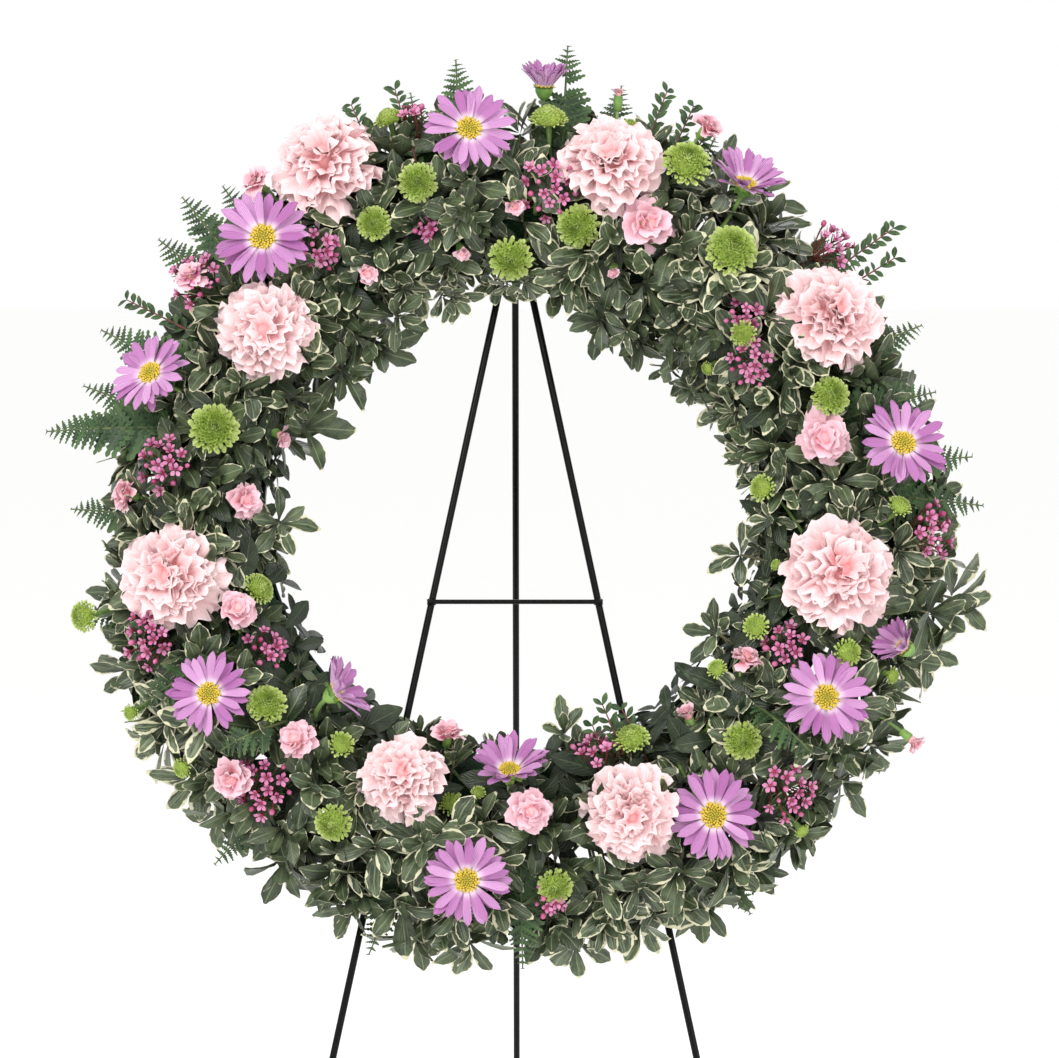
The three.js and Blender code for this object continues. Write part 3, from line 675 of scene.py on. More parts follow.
BROAD_LEAVES = blade_kit("broad leaves", BROAD_OUTLINE, (0.14, 0.3, (1, 0.015), 0.0),
                         (0.24, 0.2, (1, 0.015), 1.6), thickness=0.01)
PINNAE = blade_kit("fern leaflets", pinna_outline(), (0.1, 0.2))
NEEDLES = blade_kit("needles", [(0.0, 0.03), (0.5, 0.055), (1.0, 0.01)], (0.12,), thickness=0.04)
SMALL_LEAVES = blade_kit("small leaves", BROAD_OUTLINE, (0.1, 0.3))
FLORETS = kit("disc florets", lump("floret", [(0.0, 0.3), (0.62, 0.42), (0.9, 0.3), (1.0, 0.1)], 5))
WAX_EYE = kit("wax eye", lump("eye", [(0.0, 0.8), (0.6, 0.7), (1.0, 0.35)]))
BUDS = kit("buds", lump("bud", [(0.0, 0.14), (0.3, 0.36), (0.65, 0.4), (0.9, 0.25), (1.0, 0.1)]))


# ---------------------------------------------------------------- finishes

# The foliage's section, whose depths get painted shade: where its middle lies, and half its width
# and height.
MASS_MIDDLE, MASS_WIDE = 224 * MM, 76 * MM
MASS_LIFT, MASS_HIGH = 12 * MM, 66 * MM


class Finish(Graph):
    """A material being wired. Numbers that are the same all over go straight on the shader."""

    def __init__(self, name, **fixed):
        self.material = bpy.data.materials.new(name)
        self.material.use_nodes = True
        super().__init__(self.material.node_tree)
        self.shader = self.tree.nodes["Principled BSDF"]
        for socket, value in fixed.items():
            self.shader.inputs[socket.replace("_", " ")].default_value = value

    def spot(self):
        return self.node("ShaderNodeTexCoord", out="Object")

    def mark(self, name):
        return self.node("ShaderNodeAttribute", out="Fac", attribute_name=name)

    def behind(self):
        """1 on the back of a leaf."""
        return self.smooth(0 - self.mark("side"), 0.1, 0.8)

    def across_and_along(self):
        """Across the leaf from -1 to 1, and along it from 0 to 1."""
        uv = self.node("ShaderNodeUVMap", uv_map="UVMap")
        parts = self.node("ShaderNodeSeparateXYZ", Vector=uv)
        return parts * 2 - 1, parts.beside("Y")

    def mottled(self, low, high, patches, start=0.3, end=0.7):
        """One colour that goes over into another in patches."""
        return self.mix(low, high, self.smooth(patches, start, end))

    def painted_light_share(self):
        """The share of light painted on the foliage: 0 in its depths, which get painted shade, and 1
        at its surface all round the ring's section.
        """
        off = self.vector("SUBTRACT", self.spot(), tuple(RING.translation))
        forwards = RING.to_3x3() @ Vector((0, -1, 0))
        front = self.vector("DOT_PRODUCT", off, tuple(forwards))
        out = (self.vector("LENGTH", off) ** 2 - front * front) ** 0.5
        wide, high = (out - MASS_MIDDLE) / MASS_WIDE, (front - MASS_LIFT) / MASS_HIGH
        return self.smooth((wide * wide + high * high) ** 0.5, 0.45, 1.0)

    def wave(self, value, count):
        """A wave between 0 and 1."""
        return 0.5 + 0.5 * self.math("SINE", value * (2 * math.pi * count))

    def done(self, base, roughness, height=None, depth=0.001, strength=0.5, metallic=None):
        self.feed(self.shader.inputs["Base Color"], base)
        self.feed(self.shader.inputs["Roughness"], roughness)
        if metallic is not None:
            self.feed(self.shader.inputs["Metallic"], metallic)
        if height is not None:
            bump = self.node("ShaderNodeBump", Height=height, Distance=depth, Strength=strength)
            self.feed(self.shader.inputs["Normal"], bump)
        return self.material


def petal_finish(name, root_shade, body, edge, fold):
    """Ruffled petals: a deeper colour painted at their roots and in the middle of the head as shade,
    pale at the frill.
    """
    finish = Finish(name, Specular_IOR_Level=0.2, Sheen_Weight=0.1)
    across, along = finish.across_and_along()
    veins = finish.wave(across + 0.05 * finish.noise(finish.spot(), 300), 7)
    # Painted shade: the deeper colour towards the petals' roots, down in the head.
    base = finish.mix(root_shade, body, finish.smooth(along, 0.25, 0.8))
    frill = finish.smooth(along + 0.1 * finish.noise(finish.spot(), 260), 0.88, 1.06)
    base = base.mixed(edge, frill * 0.6)
    # Painted shade in the fold colour towards the middle of the head, with a random tone for each
    # petal.
    centre_shade_and_tone = (1 - finish.mark("ring")) * 0.25 + finish.mark("tone") * 0.3
    base = base.mixed(fold, centre_shade_and_tone * (1 - 0.5 * frill))
    base = base.mixed(fold, veins * 0.12)
    return finish.done(base, 0.62 + 0.16 * veins, veins, 0.0006, 0.35)


def ray_finish():
    """Daisy rays: lilac with fine grooves, white towards the disc, paler behind."""
    finish = Finish("lilac_ray", Specular_IOR_Level=0.3, Sheen_Weight=0.1)
    across, along = finish.across_and_along()
    grooves = finish.wave(across, 3)
    base = finish.mix("B26CAA", "DCA8D6", finish.mark("tone"))
    base = base.mixed("9C5A96", grooves * 0.4 * finish.smooth(along, 0.1, 0.6))
    base = finish.mix("F3E6F1", base, finish.smooth(along, 0.02, 0.34))
    base = base.mixed("D9B2DA", finish.behind() * 0.6)
    return finish.done(base, 0.55 + 0.12 * grooves, grooves, 0.0008, 0.4)


def disc_finish():
    """The daisy's eye: yellow florets, greener in the middle."""
    finish = Finish("daisy_disc")
    ring, along = finish.mark("ring"), finish.mark("along")
    base = finish.ramp(ring, (0.0, "B4A834"), (0.35, "D2B83A"), (0.8, "DCC248"), (1.0, "CBA63A"))
    base = finish.mix("A08A2A", base, finish.smooth(along, 0.1, 0.7))
    return finish.done(base, 0.55 + 0.2 * finish.mark("tone"))


def button_finish():
    """Button chrysanthemums: lime petals round a darker green eye."""
    finish = Finish("lime_button", Specular_IOR_Level=0.15)
    across, along = finish.across_and_along()
    ring, tone = finish.mark("ring"), finish.mark("tone")
    base = finish.ramp(ring, (0.0, "8CA640"), (0.12, "ABC258"), (0.5, "C3D672"), (1.0, "CEDE86"))
    base = base.mixed("DFEAAC", finish.smooth(along, 0.5, 1.0) * 0.6)
    base = finish.mix("A0B950", base, finish.smooth(along, 0.0, 0.5))
    base = base.mixed("B4C962", tone * 0.35)
    midrib = finish.fade(abs(across), 0.0, 0.5)
    return finish.done(base, 0.5 + 0.15 * midrib, midrib, 0.0006, 0.3)


def wax_finish():
    """Waxflower petals: deep pink at the eye, and paler outwards."""
    finish = Finish("waxflower_petal", Specular_IOR_Level=0.4)
    _, along = finish.across_and_along()
    base = finish.mix("8A2250", "C86A9C", finish.smooth(along, 0.1, 0.75))
    base = base.mixed("DF9CC2", finish.mark("tone") * 0.7)
    return finish.done(base, 0.35 + 0.2 * along)


def plain_finish(name, low, high, roughness):
    """One colour mottled into another, with a fine grain."""
    finish = Finish(name)
    base = finish.mottled(low, high, finish.noise(finish.spot(), 55, 2.0))
    grain = finish.noise(finish.spot(), 220, 3.0)
    return finish.done(base, roughness + 0.2 * (grain - 0.5), grain, 0.0004, 0.4)


def leaf_finish():
    """Variegated leaves: grey-green with an uneven cream margin, a pale midrib, dull behind, and
    painted shade at their roots and in the depths of the foliage.
    """
    finish = Finish("pittosporum_leaf", Specular_IOR_Level=0.4)
    across, along = finish.across_and_along()
    tone, cream, spot = finish.mark("tone"), finish.mark("cream"), finish.spot()
    base = finish.mottled("2C3521", "586543", finish.noise(spot, 110, 3.0))
    base = base.mixed("1E271A", finish.smooth(tone, 0.35, 1.0) * 0.6)
    streaks = finish.noise(finish.combine(across * 2.2, along * 0.8, tone * 40), 3.0, 2.0)
    base = base.mixed("8E9A80", finish.smooth(streaks, 0.5, 0.62) * cream * 0.7)
    veins = finish.wave(along - abs(across) * 0.35, 9)
    base = base.mixed("6F8364", veins * 0.12)
    midrib = finish.fade(abs(across), 0.02, 0.12)
    base = base.mixed("8E9E76", midrib * 0.5)
    inside = 1 - finish.math("MAXIMUM", abs(across), finish.smooth(along, 0.78, 1.0))
    wander = finish.noise(spot, 130, 2.0) * 1.2 - 0.72 + cream * 0.4 - tone * 0.1 + along * 0.14
    margin = finish.fade(inside, wander - 0.04, wander + 0.05)
    base = base.mixed("E4E0BE", margin * 0.9)
    # Painted shade: darker towards the leaves' roots and in the depths of the foliage.
    painted_light = finish.smooth(along, 0.0, 0.45) * (0.3 + 0.7 * finish.painted_light_share())
    base = finish.mix("10170E", base, 0.3 + 0.7 * painted_light)
    behind = finish.behind()
    base = base.mixed("6E7C60", behind * 0.5)
    height = midrib * -0.6 + veins * 0.25 + margin * 0.3
    return finish.done(base, 0.3 + 0.22 * behind + 0.1 * margin, height, 0.0006, 0.5)


def broad_leaf_finish():
    """Dark leaves with a pale midrib, duller behind: a layer of painted shade between the whorls,
    darker still as painted shade in the depths of the foliage.
    """
    finish = Finish("broad_leaf", Specular_IOR_Level=0.3)
    across, along = finish.across_and_along()
    # The dark greens make these leaves a layer of painted shade between the whorls.
    base = finish.mottled("1A2316", "35402B", finish.noise(finish.spot(), 90, 2.0))
    veins = finish.wave(along - abs(across) * 0.4, 8)
    midrib = finish.fade(abs(across), 0.015, 0.08)
    base = base.mixed("6B7C5B", midrib * 0.5 + veins * 0.08)
    base = base.mixed("172116", finish.mark("tone") * 0.4)
    behind = finish.behind()
    base = base.mixed("566549", behind * 0.6)
    # Painted shade: darker in the depths of the foliage.
    base = finish.mix("0C120B", base, 0.35 + 0.65 * finish.painted_light_share())
    return finish.done(base, 0.32 + 0.25 * behind, veins * 0.4 - midrib, 0.0006, 0.5)


def fern_finish():
    """Fern leaflets, lighter towards their tips."""
    finish = Finish("fern_leaflet", Specular_IOR_Level=0.3)
    across, along = finish.across_and_along()
    tone = finish.mark("tone")
    base = finish.mix("22361F", "456238", tone * 0.8)
    base = base.mixed("66844C", finish.smooth(along, 0.5, 1.0) * 0.35)
    midrib = finish.fade(abs(across), 0.03, 0.2)
    base = base.mixed("6C8450", midrib * 0.35)
    return finish.done(base, 0.4 + 0.15 * tone, midrib * -1.0, 0.0005, 0.4)


def stem_finish(name, low, high):
    finish = Finish(name)
    patches = finish.noise(finish.spot(), 90, 3.0)
    base = finish.mottled(low, high, patches)
    return finish.done(base, 0.45 + 0.2 * patches, patches, 0.0004, 0.4)


def wire_finish():
    """Black enamel on steel wire: runs and specks, with dust and thin worn patches."""
    finish = Finish("easel_enamel", Specular_IOR_Level=0.16)
    spot = finish.spot()
    runs = finish.noise(finish.vector("MULTIPLY", spot, (1.0, 1.0, 0.25)), 240, 3.0)
    dust = finish.noise(spot, 26, 4.0)
    base = finish.mix("040505", "0E1113", finish.smooth(runs, 0.45, 0.8) * 0.5)
    base = base.mixed("2A2E30", finish.smooth(dust, 0.6, 0.85) * 0.25)
    worn = finish.smooth(finish.noise(spot, 420, 2.0), 0.7, 0.78) * finish.smooth(dust, 0.5, 0.8)
    base = base.mixed("5A5F62", worn * 0.5)
    return finish.done(base, 0.18 + 0.2 * dust, runs, 0.0006, 0.35, worn * 0.6)


def tray_finish():
    """Dark green moulded plastic with a faint grain and scuffs."""
    finish = Finish("tray_plastic", Specular_IOR_Level=0.4)
    spot = finish.spot()
    grain, scuffs = finish.noise(spot, 900, 2.0), finish.noise(spot, 60, 5.0)
    base = finish.mottled("12201A", "1D3327", scuffs, 0.35)
    marks = finish.smooth(scuffs, 0.62, 0.7)
    base = base.mixed("44584C", marks * 0.35)
    return finish.done(base, 0.4 + 0.25 * marks, grain, 0.0003, 0.35)


def foam_finish():
    """Wet floral foam: fine open cells, darker where it is soaked, and dark green all over as
    painted shade under the leaves.
    """
    finish = Finish("wet_foam", Specular_IOR_Level=0.2)
    spot = finish.spot()
    cells = finish.node("ShaderNodeTexVoronoi", feature="F1", Vector=spot, Scale=700.0)
    soaked = finish.noise(spot, 22, 3.0)
    # Painted shade: the foam's greens are kept dark, as it lies in shade under the leaves.
    base = finish.mottled("16301D", "28492C", soaked, 0.35)
    base = base.mixed("0C1D12", finish.smooth(cells, 0.35, 0.7) * 0.5)
    return finish.done(base, 0.8 + 0.15 * soaked, cells, 0.0012, 0.8)


# In each petal finish the first colour is painted shade at the roots. The last is painted shade in
# the middle of the head and also the veins' colour.
PINK = petal_finish("pale_pink_petal", "F8B3B5", "FDDFE0", "FDEAEB", "FBC7C9")
MINI_PINK = petal_finish("mini_pink_petal", "EE93A8", "F6CFD8", "F8DFE5", "F1B0BF")
LILAC, DISC, LIME, WAX = ray_finish(), disc_finish(), button_finish(), wax_finish()
LIME_CORE = plain_finish("lime_button_core", "88A03E", "A2B950", 0.7)
# The heart of a carnation: a core coloured as painted shade, for the shaded depths between the
# petals.
SHADED_HEART_PINK = plain_finish("pink_petal_depths", "F0A8AA", "F5BCBD", 0.7)
EYE_RED = plain_finish("waxflower_eye", "6E1230", "96284A", 0.35)
BUD_PINK = plain_finish("waxflower_bud", "A8386A", "D77BA6", 0.4)
VARIEGATED, BROAD, FERN = leaf_finish(), broad_leaf_finish(), fern_finish()
GREEN_STEM = stem_finish("green_stem", "4F6E32", "7E9C52")
CALYX = stem_finish("calyx", "5F8A3C", "8DB25A")
TWIG = stem_finish("woody_twig", "4A4630", "6E6A48")
RED_TWIG = stem_finish("red_twig", "5A2A28", "7E4438")
FERN_STALK = stem_finish("fern_stalk", "3C4A26", "5C6A38")
ENAMEL, PLASTIC, FOAM = wire_finish(), tray_finish(), foam_finish()
TIE_STEEL = plain_finish("tie_wire_enamel", "23301F", "3C4A34", 0.42)

ROSETTES, FRONDS, WIRES = rosette_tree(), frond_tree(), wire_tree()


# ---------------------------------------------------------------- pieces
def make_piece(name, meshes, node, body=FRONT):
    """Joins meshes made in the ring's frame into one piece that stands for a CAD node."""
    objects = []
    for mesh in meshes:
        mesh.transform(RING)
        objects.append(bpy.data.objects.new(name, mesh))
        bpy.context.collection.objects.link(objects[-1])
    piece = objects[0]
    if len(objects) > 1:
        with bpy.context.temp_override(active_object=piece, object=piece, selected_objects=objects,
                                       selected_editable_objects=objects):
            bpy.ops.object.join()
    piece.name = piece.data.name = name
    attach(piece, body)
    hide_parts(node)


def pair(value):
    return value if isinstance(value, tuple) else (value, value)


def rosettes(leaf, spots, finish, seed, count, root=0.0, fill=0.5, step=GOLDEN, rise=0.0,
             lift=0.0, length=1.0, twist=0.0, unrest=0.0, waver=0.0, grain=60.0):
    """Petals or leaves round each spot. A pair is for the first of them and for the last."""
    rise, lift, length = pair(rise), pair(lift), pair(length)
    return grown(
        paths_mesh([[spot] for spot in spots]), ROSETTES, Leaf=leaf, Count=count, Step=step,
        Root=root, Fill=fill, RiseFirst=rise[0], RiseLast=rise[1], LiftFirst=lift[0],
        LiftLast=lift[1], LengthFirst=length[0], LengthLast=length[1], Twist=twist,
        Unrest=unrest, Waver=waver, Grain=grain, Seed=seed, Finish=finish)


def fronds(leaf, paths, seed, spacing, sweep, droop=0.0, unrest=0.0, waver=0.0):
    """Leaflets in pairs along each path."""
    return grown(paths_mesh(paths), FRONDS, Leaf=leaf, Spacing=spacing, Sweep=sweep, Droop=droop,
                 Unrest=unrest, Waver=waver, Grain=45.0, Seed=seed, Finish=FERN)


def wires(paths, finish, sides=8):
    mesh = grown(paths_mesh(paths), WIRES, Sides=sides, Finish=finish)
    mesh.shade_smooth()
    return mesh


def curve_point(start, middle, end, t):
    """A point on the smooth bend from start to end that middle pulls on."""
    return start * (1 - t) ** 2 + middle * 2 * t * (1 - t) + end * t * t


def bend_path(start, middle, end, radii, steps=8):
    """A smooth bend, as thick as the radii say at even steps along it."""
    path = []
    for i in range(steps + 1):
        t = i / steps
        reach = t * (len(radii) - 1)
        low = min(int(reach), len(radii) - 2)
        radius = radii[low] + (radii[low + 1] - radii[low]) * (reach - low)
        path.append({"at": curve_point(start, middle, end, t), "thick": radius * MM})
    return path


def turned(at, way, rows, scale):
    """A turned shape along an axis, from rows of [reach, radius] times the scale."""
    return [{"at": at + way * reach * scale, "thick": radius * scale} for reach, radius in rows]


STEM_ROOT, STEM_FORK = 30, 58  # lifts where stems start in the foam, and where they part
STEM_BEND = 0.4  # how far back a bloom pulls on its stem, as a share of its length


def stem_to(at, direction, root, radii):
    """A stem out of the foam that arrives at a bloom along the way it faces."""
    fork = place(root, RING_CORE, STEM_FORK)
    pull = at - direction * (at - fork).length * STEM_BEND
    start = {"at": place(root, RING_CORE, STEM_ROOT), "thick": radii[0] * MM}
    return [start] + bend_path(fork, pull, at, radii)


def spot_of(bloom, turn, cup=0.0):
    clock, distance, width, lift, lean, towards = bloom
    return {"at": place(clock, distance, lift), "facing": facing(lean, towards),
            "width": width * MM, "turn": turn, "cup": cup}


# ---------------------------------------------------------------- blooms
chance = random.Random(41)


def any_turn():
    return chance.uniform(0, 2 * math.pi)


def bracts(spots, seed, count, root, length, lift, rise=-0.06):
    """The little green leaves under a bloom."""
    return rosettes(SMALL_LEAVES, spots, CALYX, seed, count, root, fill=0.0, rise=rise, lift=lift,
                    length=length, twist=0.1, unrest=0.08)


def upright(leaf, spots, finish, rise, length):
    """A lump on each spot's axis."""
    return rosettes(leaf, spots, finish, 1, 1, rise=rise, lift=math.pi / 2, length=length)

# The closed cores under the florets: rows of reach and radius, as shares of the bloom's width.
BUTTON_CORE = [(-0.2, 0.12), (-0.14, 0.32), (0.0, 0.35), (0.1, 0.27), (0.15, 0.16), (0.17, 0.04)]
DISC_CORE = [(-0.03, 0.06), (-0.01, 0.11), (0.01, 0.1), (0.025, 0.07), (0.032, 0.02)]
HEART = [(-0.3, 0.08), (-0.16, 0.16), (0.0, 0.17), (0.1, 0.1), (0.13, 0.03)]


def core(spot, rows):
    return turned(spot["at"], spot["facing"], rows, spot["width"])


CARNATION_BACK = 0.34  # from a bloom's middle to its base, as a share of its width
CARNATION_CALYX = [(-12, 2), (-10, 4.5), (-4, 6), (4, 6.6), (9, 6)]  # reach and radius


def make_carnation(number, bloom):
    spot = spot_of(bloom, any_turn())
    base = spot["at"] - spot["facing"] * spot["width"] * CARNATION_BACK
    head = rosettes(PETALS, [spot], PINK, number, 62, 0.14, rise=(-0.02, -0.2), lift=(1.5, 0.34),
                    length=(0.3, 0.41), twist=1.1, unrest=0.28, waver=0.003, grain=120.0)
    meshes = [
        head,
        wires([stem_to(base, spot["facing"], bloom[0], [2, 2])], GREEN_STEM),
        wires([turned(base, spot["facing"], CARNATION_CALYX, MM)], CALYX, 12),
        wires([core(spot, HEART)], SHADED_HEART_PINK, 12),
    ]
    make_piece(f"carnation_bloom_{number}", meshes, f"carnation_{number}")


HALF_CLOSED = 40  # daisies narrower than this are still cupped
CLOSED_CUP, SIDE_CUP = 0.85, 0.5
CLOSED_STRETCH = 1.35  # from the width of a cupped daisy to that of its open rays
SIDE_LEAN = 40  # daisies that lean further than this are seen from the side
DAISY_BACK = 3 * MM  # from a bloom's middle to its base
DAISY_CALYX = [(-7, 1.6), (-5, 4), (-1, 6), (2.4, 6.2)]


def daisy_rays(spot, seed):
    return rosettes(RAYS, [spot], LILAC, seed, 28, 0.1, fill=0.0, rise=(0.01, -0.02),
                    lift=(0.24, 0.02), length=(0.38, 0.41), twist=0.25, unrest=0.09, waver=0.0016)


def daisy_disc(spot, seed):
    return rosettes(FLORETS, [spot], DISC, seed, 84, 0.12, rise=(0.022, -0.005),
                    lift=(1.55, 0.8), length=(0.03, 0.044), twist=0.3, unrest=0.08)


def make_daisy(number, bloom):
    closed = bloom[2] < HALF_CLOSED
    cup = CLOSED_CUP if closed else SIDE_CUP if bloom[4] > SIDE_LEAN else 0.0
    spot = spot_of(bloom, any_turn(), cup)
    if closed:
        spot["width"] *= CLOSED_STRETCH
    base = spot["at"] - spot["facing"] * DAISY_BACK
    flat = {**spot, "cup": 0.0}
    meshes = [
        daisy_rays(spot, number + 20),
        daisy_disc(flat, number),
        bracts([flat], number, 13, 0.07, 0.13, 0.6 if closed else 0.15),
        wires([stem_to(base, spot["facing"], bloom[0], [1.6, 1.6])], GREEN_STEM),
        wires([turned(base, spot["facing"], DAISY_CALYX, MM)], CALYX, 10),
        wires([core(spot, DISC_CORE)], DISC, 12),
    ]
    make_piece(f"daisy_bloom_{number}", meshes, f"daisy_{number}")


SMALL_BUTTON = 20  # buttons narrower than this have fewer petals
BUTTON_BACK = 0.2  # from a bloom's middle to its stem, as a share of its width


def button_head(spot, seed, small):
    return rosettes(BUTTON_PETALS, [spot], LIME, seed, 100 if small else 180, 0.42,
                    rise=(0.23, -0.14), lift=(1.5, -0.15), length=(0.1, 0.132), twist=0.2,
                    unrest=0.12, waver=0.0004, grain=200.0)


def make_button_spray(number, spray):
    root, *blooms = spray
    spots = [spot_of(bloom, any_turn()) for bloom in blooms]
    backs = [spot["at"] - spot["facing"] * spot["width"] * BUTTON_BACK for spot in spots]
    stems = [stem_to(back, spot["facing"], root, [1.5, 1.2, 1.2, 2.4])
             for spot, back in zip(spots, backs)]
    heads = [button_head(spot, 10 * number + i, bloom[2] < SMALL_BUTTON)
             for i, (spot, bloom) in enumerate(zip(spots, blooms))]
    meshes = [
        *heads,
        bracts(spots, number, 9, 0.1, 0.26, 0.35, -0.22),
        wires([core(spot, BUTTON_CORE) for spot in spots], LIME_CORE, 12),
        wires(stems, GREEN_STEM, 6),
    ]
    make_piece(f"button_blooms_{number}", meshes, f"button_spray_{number}")


MINI_OPEN = 20  # mini carnations at least this wide have opened


def mini_head(spot, seed, opened):
    count, lift = (20, 0.25) if opened else (11, 1.1)
    return rosettes(MINI_PETALS, [spot], MINI_PINK, seed, count, 0.06, rise=(-0.14, -0.24),
                    lift=(1.5, lift), length=(0.4, 0.54), twist=0.7, unrest=0.24, waver=0.0024,
                    grain=150.0)


def mini_tube(spot, width):
    """The green tube that a mini carnation opens from."""
    long = max(13, 0.45 * width)
    rows = [(-long, 1.3), (1 - long, 2.7), (-0.5 * long, 3.3), (-0.25 * width, 3.2)]
    return turned(spot["at"], spot["facing"], rows, MM)


def make_mini_spray(number, spray):
    root, *blooms = spray
    spots = [spot_of(bloom, any_turn()) for bloom in blooms]
    tubes = [mini_tube(spot, bloom[2]) for spot, bloom in zip(spots, blooms)]
    stems = [stem_to(tube[0]["at"], spot["facing"], root, [1.4, 1.1, 1.2])
             for spot, tube in zip(spots, tubes)]
    heads = [mini_head(spot, 10 * number + i, bloom[2] >= MINI_OPEN)
             for i, (spot, bloom) in enumerate(zip(spots, blooms))]
    meshes = [
        *heads,
        bracts(spots, number, 5, 0.1, 0.3, 1.2, -0.2),
        wires(stems, GREEN_STEM, 6),
        wires(tubes, CALYX, 10),
        wires([core(spot, HEART) for spot in spots], SHADED_HEART_PINK, 10),
    ]
    make_piece(f"mini_blooms_{number}", meshes, f"mini_carnation_{number}")


WAX_WIDTH = 10.5 * MM
WAX_FORK = 26 * MM  # from a cluster's middle back to the fork of its twigs
WAX_SPACING, FEWEST_FLOWERS = 2.3, 6  # millimetres of spread for each flower
WAX_DOME = 6  # how far a cluster's edge lies behind its middle, in millimetres
TWIG_BOW = 4 * MM
NEEDLE = 9 * MM
WISP_BOW = Vector((0, -16 * MM, 0))
FORWARDS = Vector((0, -1, 0))


def wax_cluster(cluster):
    """Small flowers and buds on thin twigs that fan out from a point behind them."""
    clock, distance, spread, lift, lean, towards = cluster
    middle, way = place(clock, distance, lift), facing(lean, towards)
    fork = middle - way * WAX_FORK
    count = max(FEWEST_FLOWERS, round(spread / WAX_SPACING))
    flowers, buds, twigs = [], [], []
    for i in range(count):
        out = math.sqrt((i + 0.5) / count)
        side = way.orthogonal().normalized()
        side.rotate(Matrix.Rotation(GOLDEN * i, 3, way))
        drop = chance.uniform(-3, 5) - WAX_DOME * out * out
        at = middle + side * out * spread * MM / 2 + way * drop * MM
        aim = way + side * out * 0.7 + Vector([chance.uniform(-0.2, 0.2) for _ in range(3)])
        spot = {"at": at, "facing": aim.normalized(), "turn": any_turn(), "cup": 0.0}
        if i % 3 == 2:
            buds.append({**spot, "width": chance.uniform(4, 5.5) * MM})
        else:
            flowers.append({**spot, "width": WAX_WIDTH * chance.uniform(0.85, 1.1)})
        bow = (fork + at) / 2 + side * out * TWIG_BOW
        twigs.append(bend_path(fork, bow, at, [0.7, 0.5, 0.7], 4))
    return flowers, buds, twigs, fork, way


def wisp_path(tip):
    clock, distance, lift = tip
    start, end = place(clock, RING_CORE, FOAM_FACE), place(clock, distance, lift)
    return bend_path(start, (start + end) / 2 + WISP_BOW, end, [1.0, 0.8, 0.4], 10)


def leafy(path, face, size):
    """A path for the frond tree, with leaflets of one size."""
    return [{"at": knot["at"], "face": face, "size": size} for knot in path]


def make_wax_spray(number, clusters):
    flowers, buds, twigs, stalks, needles = [], [], [], [], []
    wisps = [wisp_path(tip) for tip in WISPS[number - 1]]
    for cluster in clusters:
        more_flowers, more_buds, more_twigs, fork, way = wax_cluster(cluster)
        flowers += more_flowers
        buds += more_buds
        twigs += more_twigs
        stalks.append(stem_to(fork, way, cluster[0], [1.2, 1.0]))
        needles += [leafy(twig[1:4], way, NEEDLE) for twig in more_twigs[::2]]
    meshes = [
        rosettes(WAX_PETALS, flowers, WAX, number, 5, 0.1, fill=0.0, step=math.radians(72),
                 lift=0.3, length=0.4, twist=0.2, unrest=0.08, waver=0.0002, grain=300.0),
        upright(WAX_EYE, flowers, EYE_RED, -0.12, 0.21),
        upright(BUDS, buds, BUD_PINK, -0.3, 1.0),
        fronds(NEEDLES, needles, number, 0.004, 0.7, 0.1, 0.3),
        fronds(SMALL_LEAVES, [leafy(wisp[3:], FORWARDS, NEEDLE) for wisp in wisps], number,
               0.0055, 0.8, unrest=0.5),
        wires(twigs, RED_TWIG, 5),
        wires(stalks + wisps, RED_TWIG, 6),
    ]
    make_piece(f"waxflower_{number}", meshes, f"waxflower_spray_{number}")


# ---------------------------------------------------------------- foliage
BLOOMS = CARNATIONS + DAISIES
for _, *blooms in BUTTON_SPRAYS + MINI_SPRAYS:
    BLOOMS += blooms
for clusters in WAX_SPRAYS:
    BLOOMS += clusters
HULLS = [(place(clock, distance, lift), facing(lean, towards), width * MM / 2)
         for clock, distance, width, lift, lean, towards in BLOOMS]

BESIDE_BLOOM, BEHIND_BLOOM = 4 * MM, 14 * MM  # leaves nearer to a bloom's rim go behind it
HEADROOM, BACKROOM = 40 * MM, 3 * MM  # kept clear before a bloom's middle and behind it
SIDE_SHARE = 0.96  # how much of a bloom's radius is kept clear round its axis
FACE_SHARE = 0.8  # and how much as seen from the front, where it faces forwards
LEAST_FACE = 0.5  # and for the blooms seen from the side
LONGEST_LEAF = 60 * MM
TRAY_ROOM = (170 * MM, 231 * MM, 24 * MM)  # round the tray: inner and outer radius, and lift
LEG_ROOM = 7 * MM  # kept clear round the legs


def sunk(at):
    """A place moved back behind any bloom that it would stand in front of."""
    at = at.copy()
    for middle, _, radius in HULLS:
        aside = math.hypot(at.x - middle.x, at.z - middle.z)
        if aside < radius + BESIDE_BLOOM and at.y < middle.y + BEHIND_BLOOM:
            at.y = middle.y + BEHIND_BLOOM
    return at


def hides(point, bloom):
    """Whether a point lies in a bloom, or before its face."""
    middle, way, radius = bloom
    off = point - middle
    height = off.dot(way)
    if -BACKROOM < height < HEADROOM and (off - way * height).length < radius * SIDE_SHARE:
        return True
    return off.y < 0 and math.hypot(off.x, off.z) < radius * FACE_SHARE * max(LEAST_FACE, -way.y)


def in_frame(point):
    """Whether a point lies in the tray, close behind it, or where a leg stands or folds to."""
    inner, outer, lift = TRAY_ROOM
    if inner < math.hypot(point.x, point.z) < outer and point.y > -lift:
        return True
    leg = (APEX_RISE * MM - point.z) * math.tan(HALF_SPREAD)
    aside = min(abs(point.x), abs(abs(point.x) - leg))
    return point.y > -LEG_ROOM and aside < LEG_ROOM


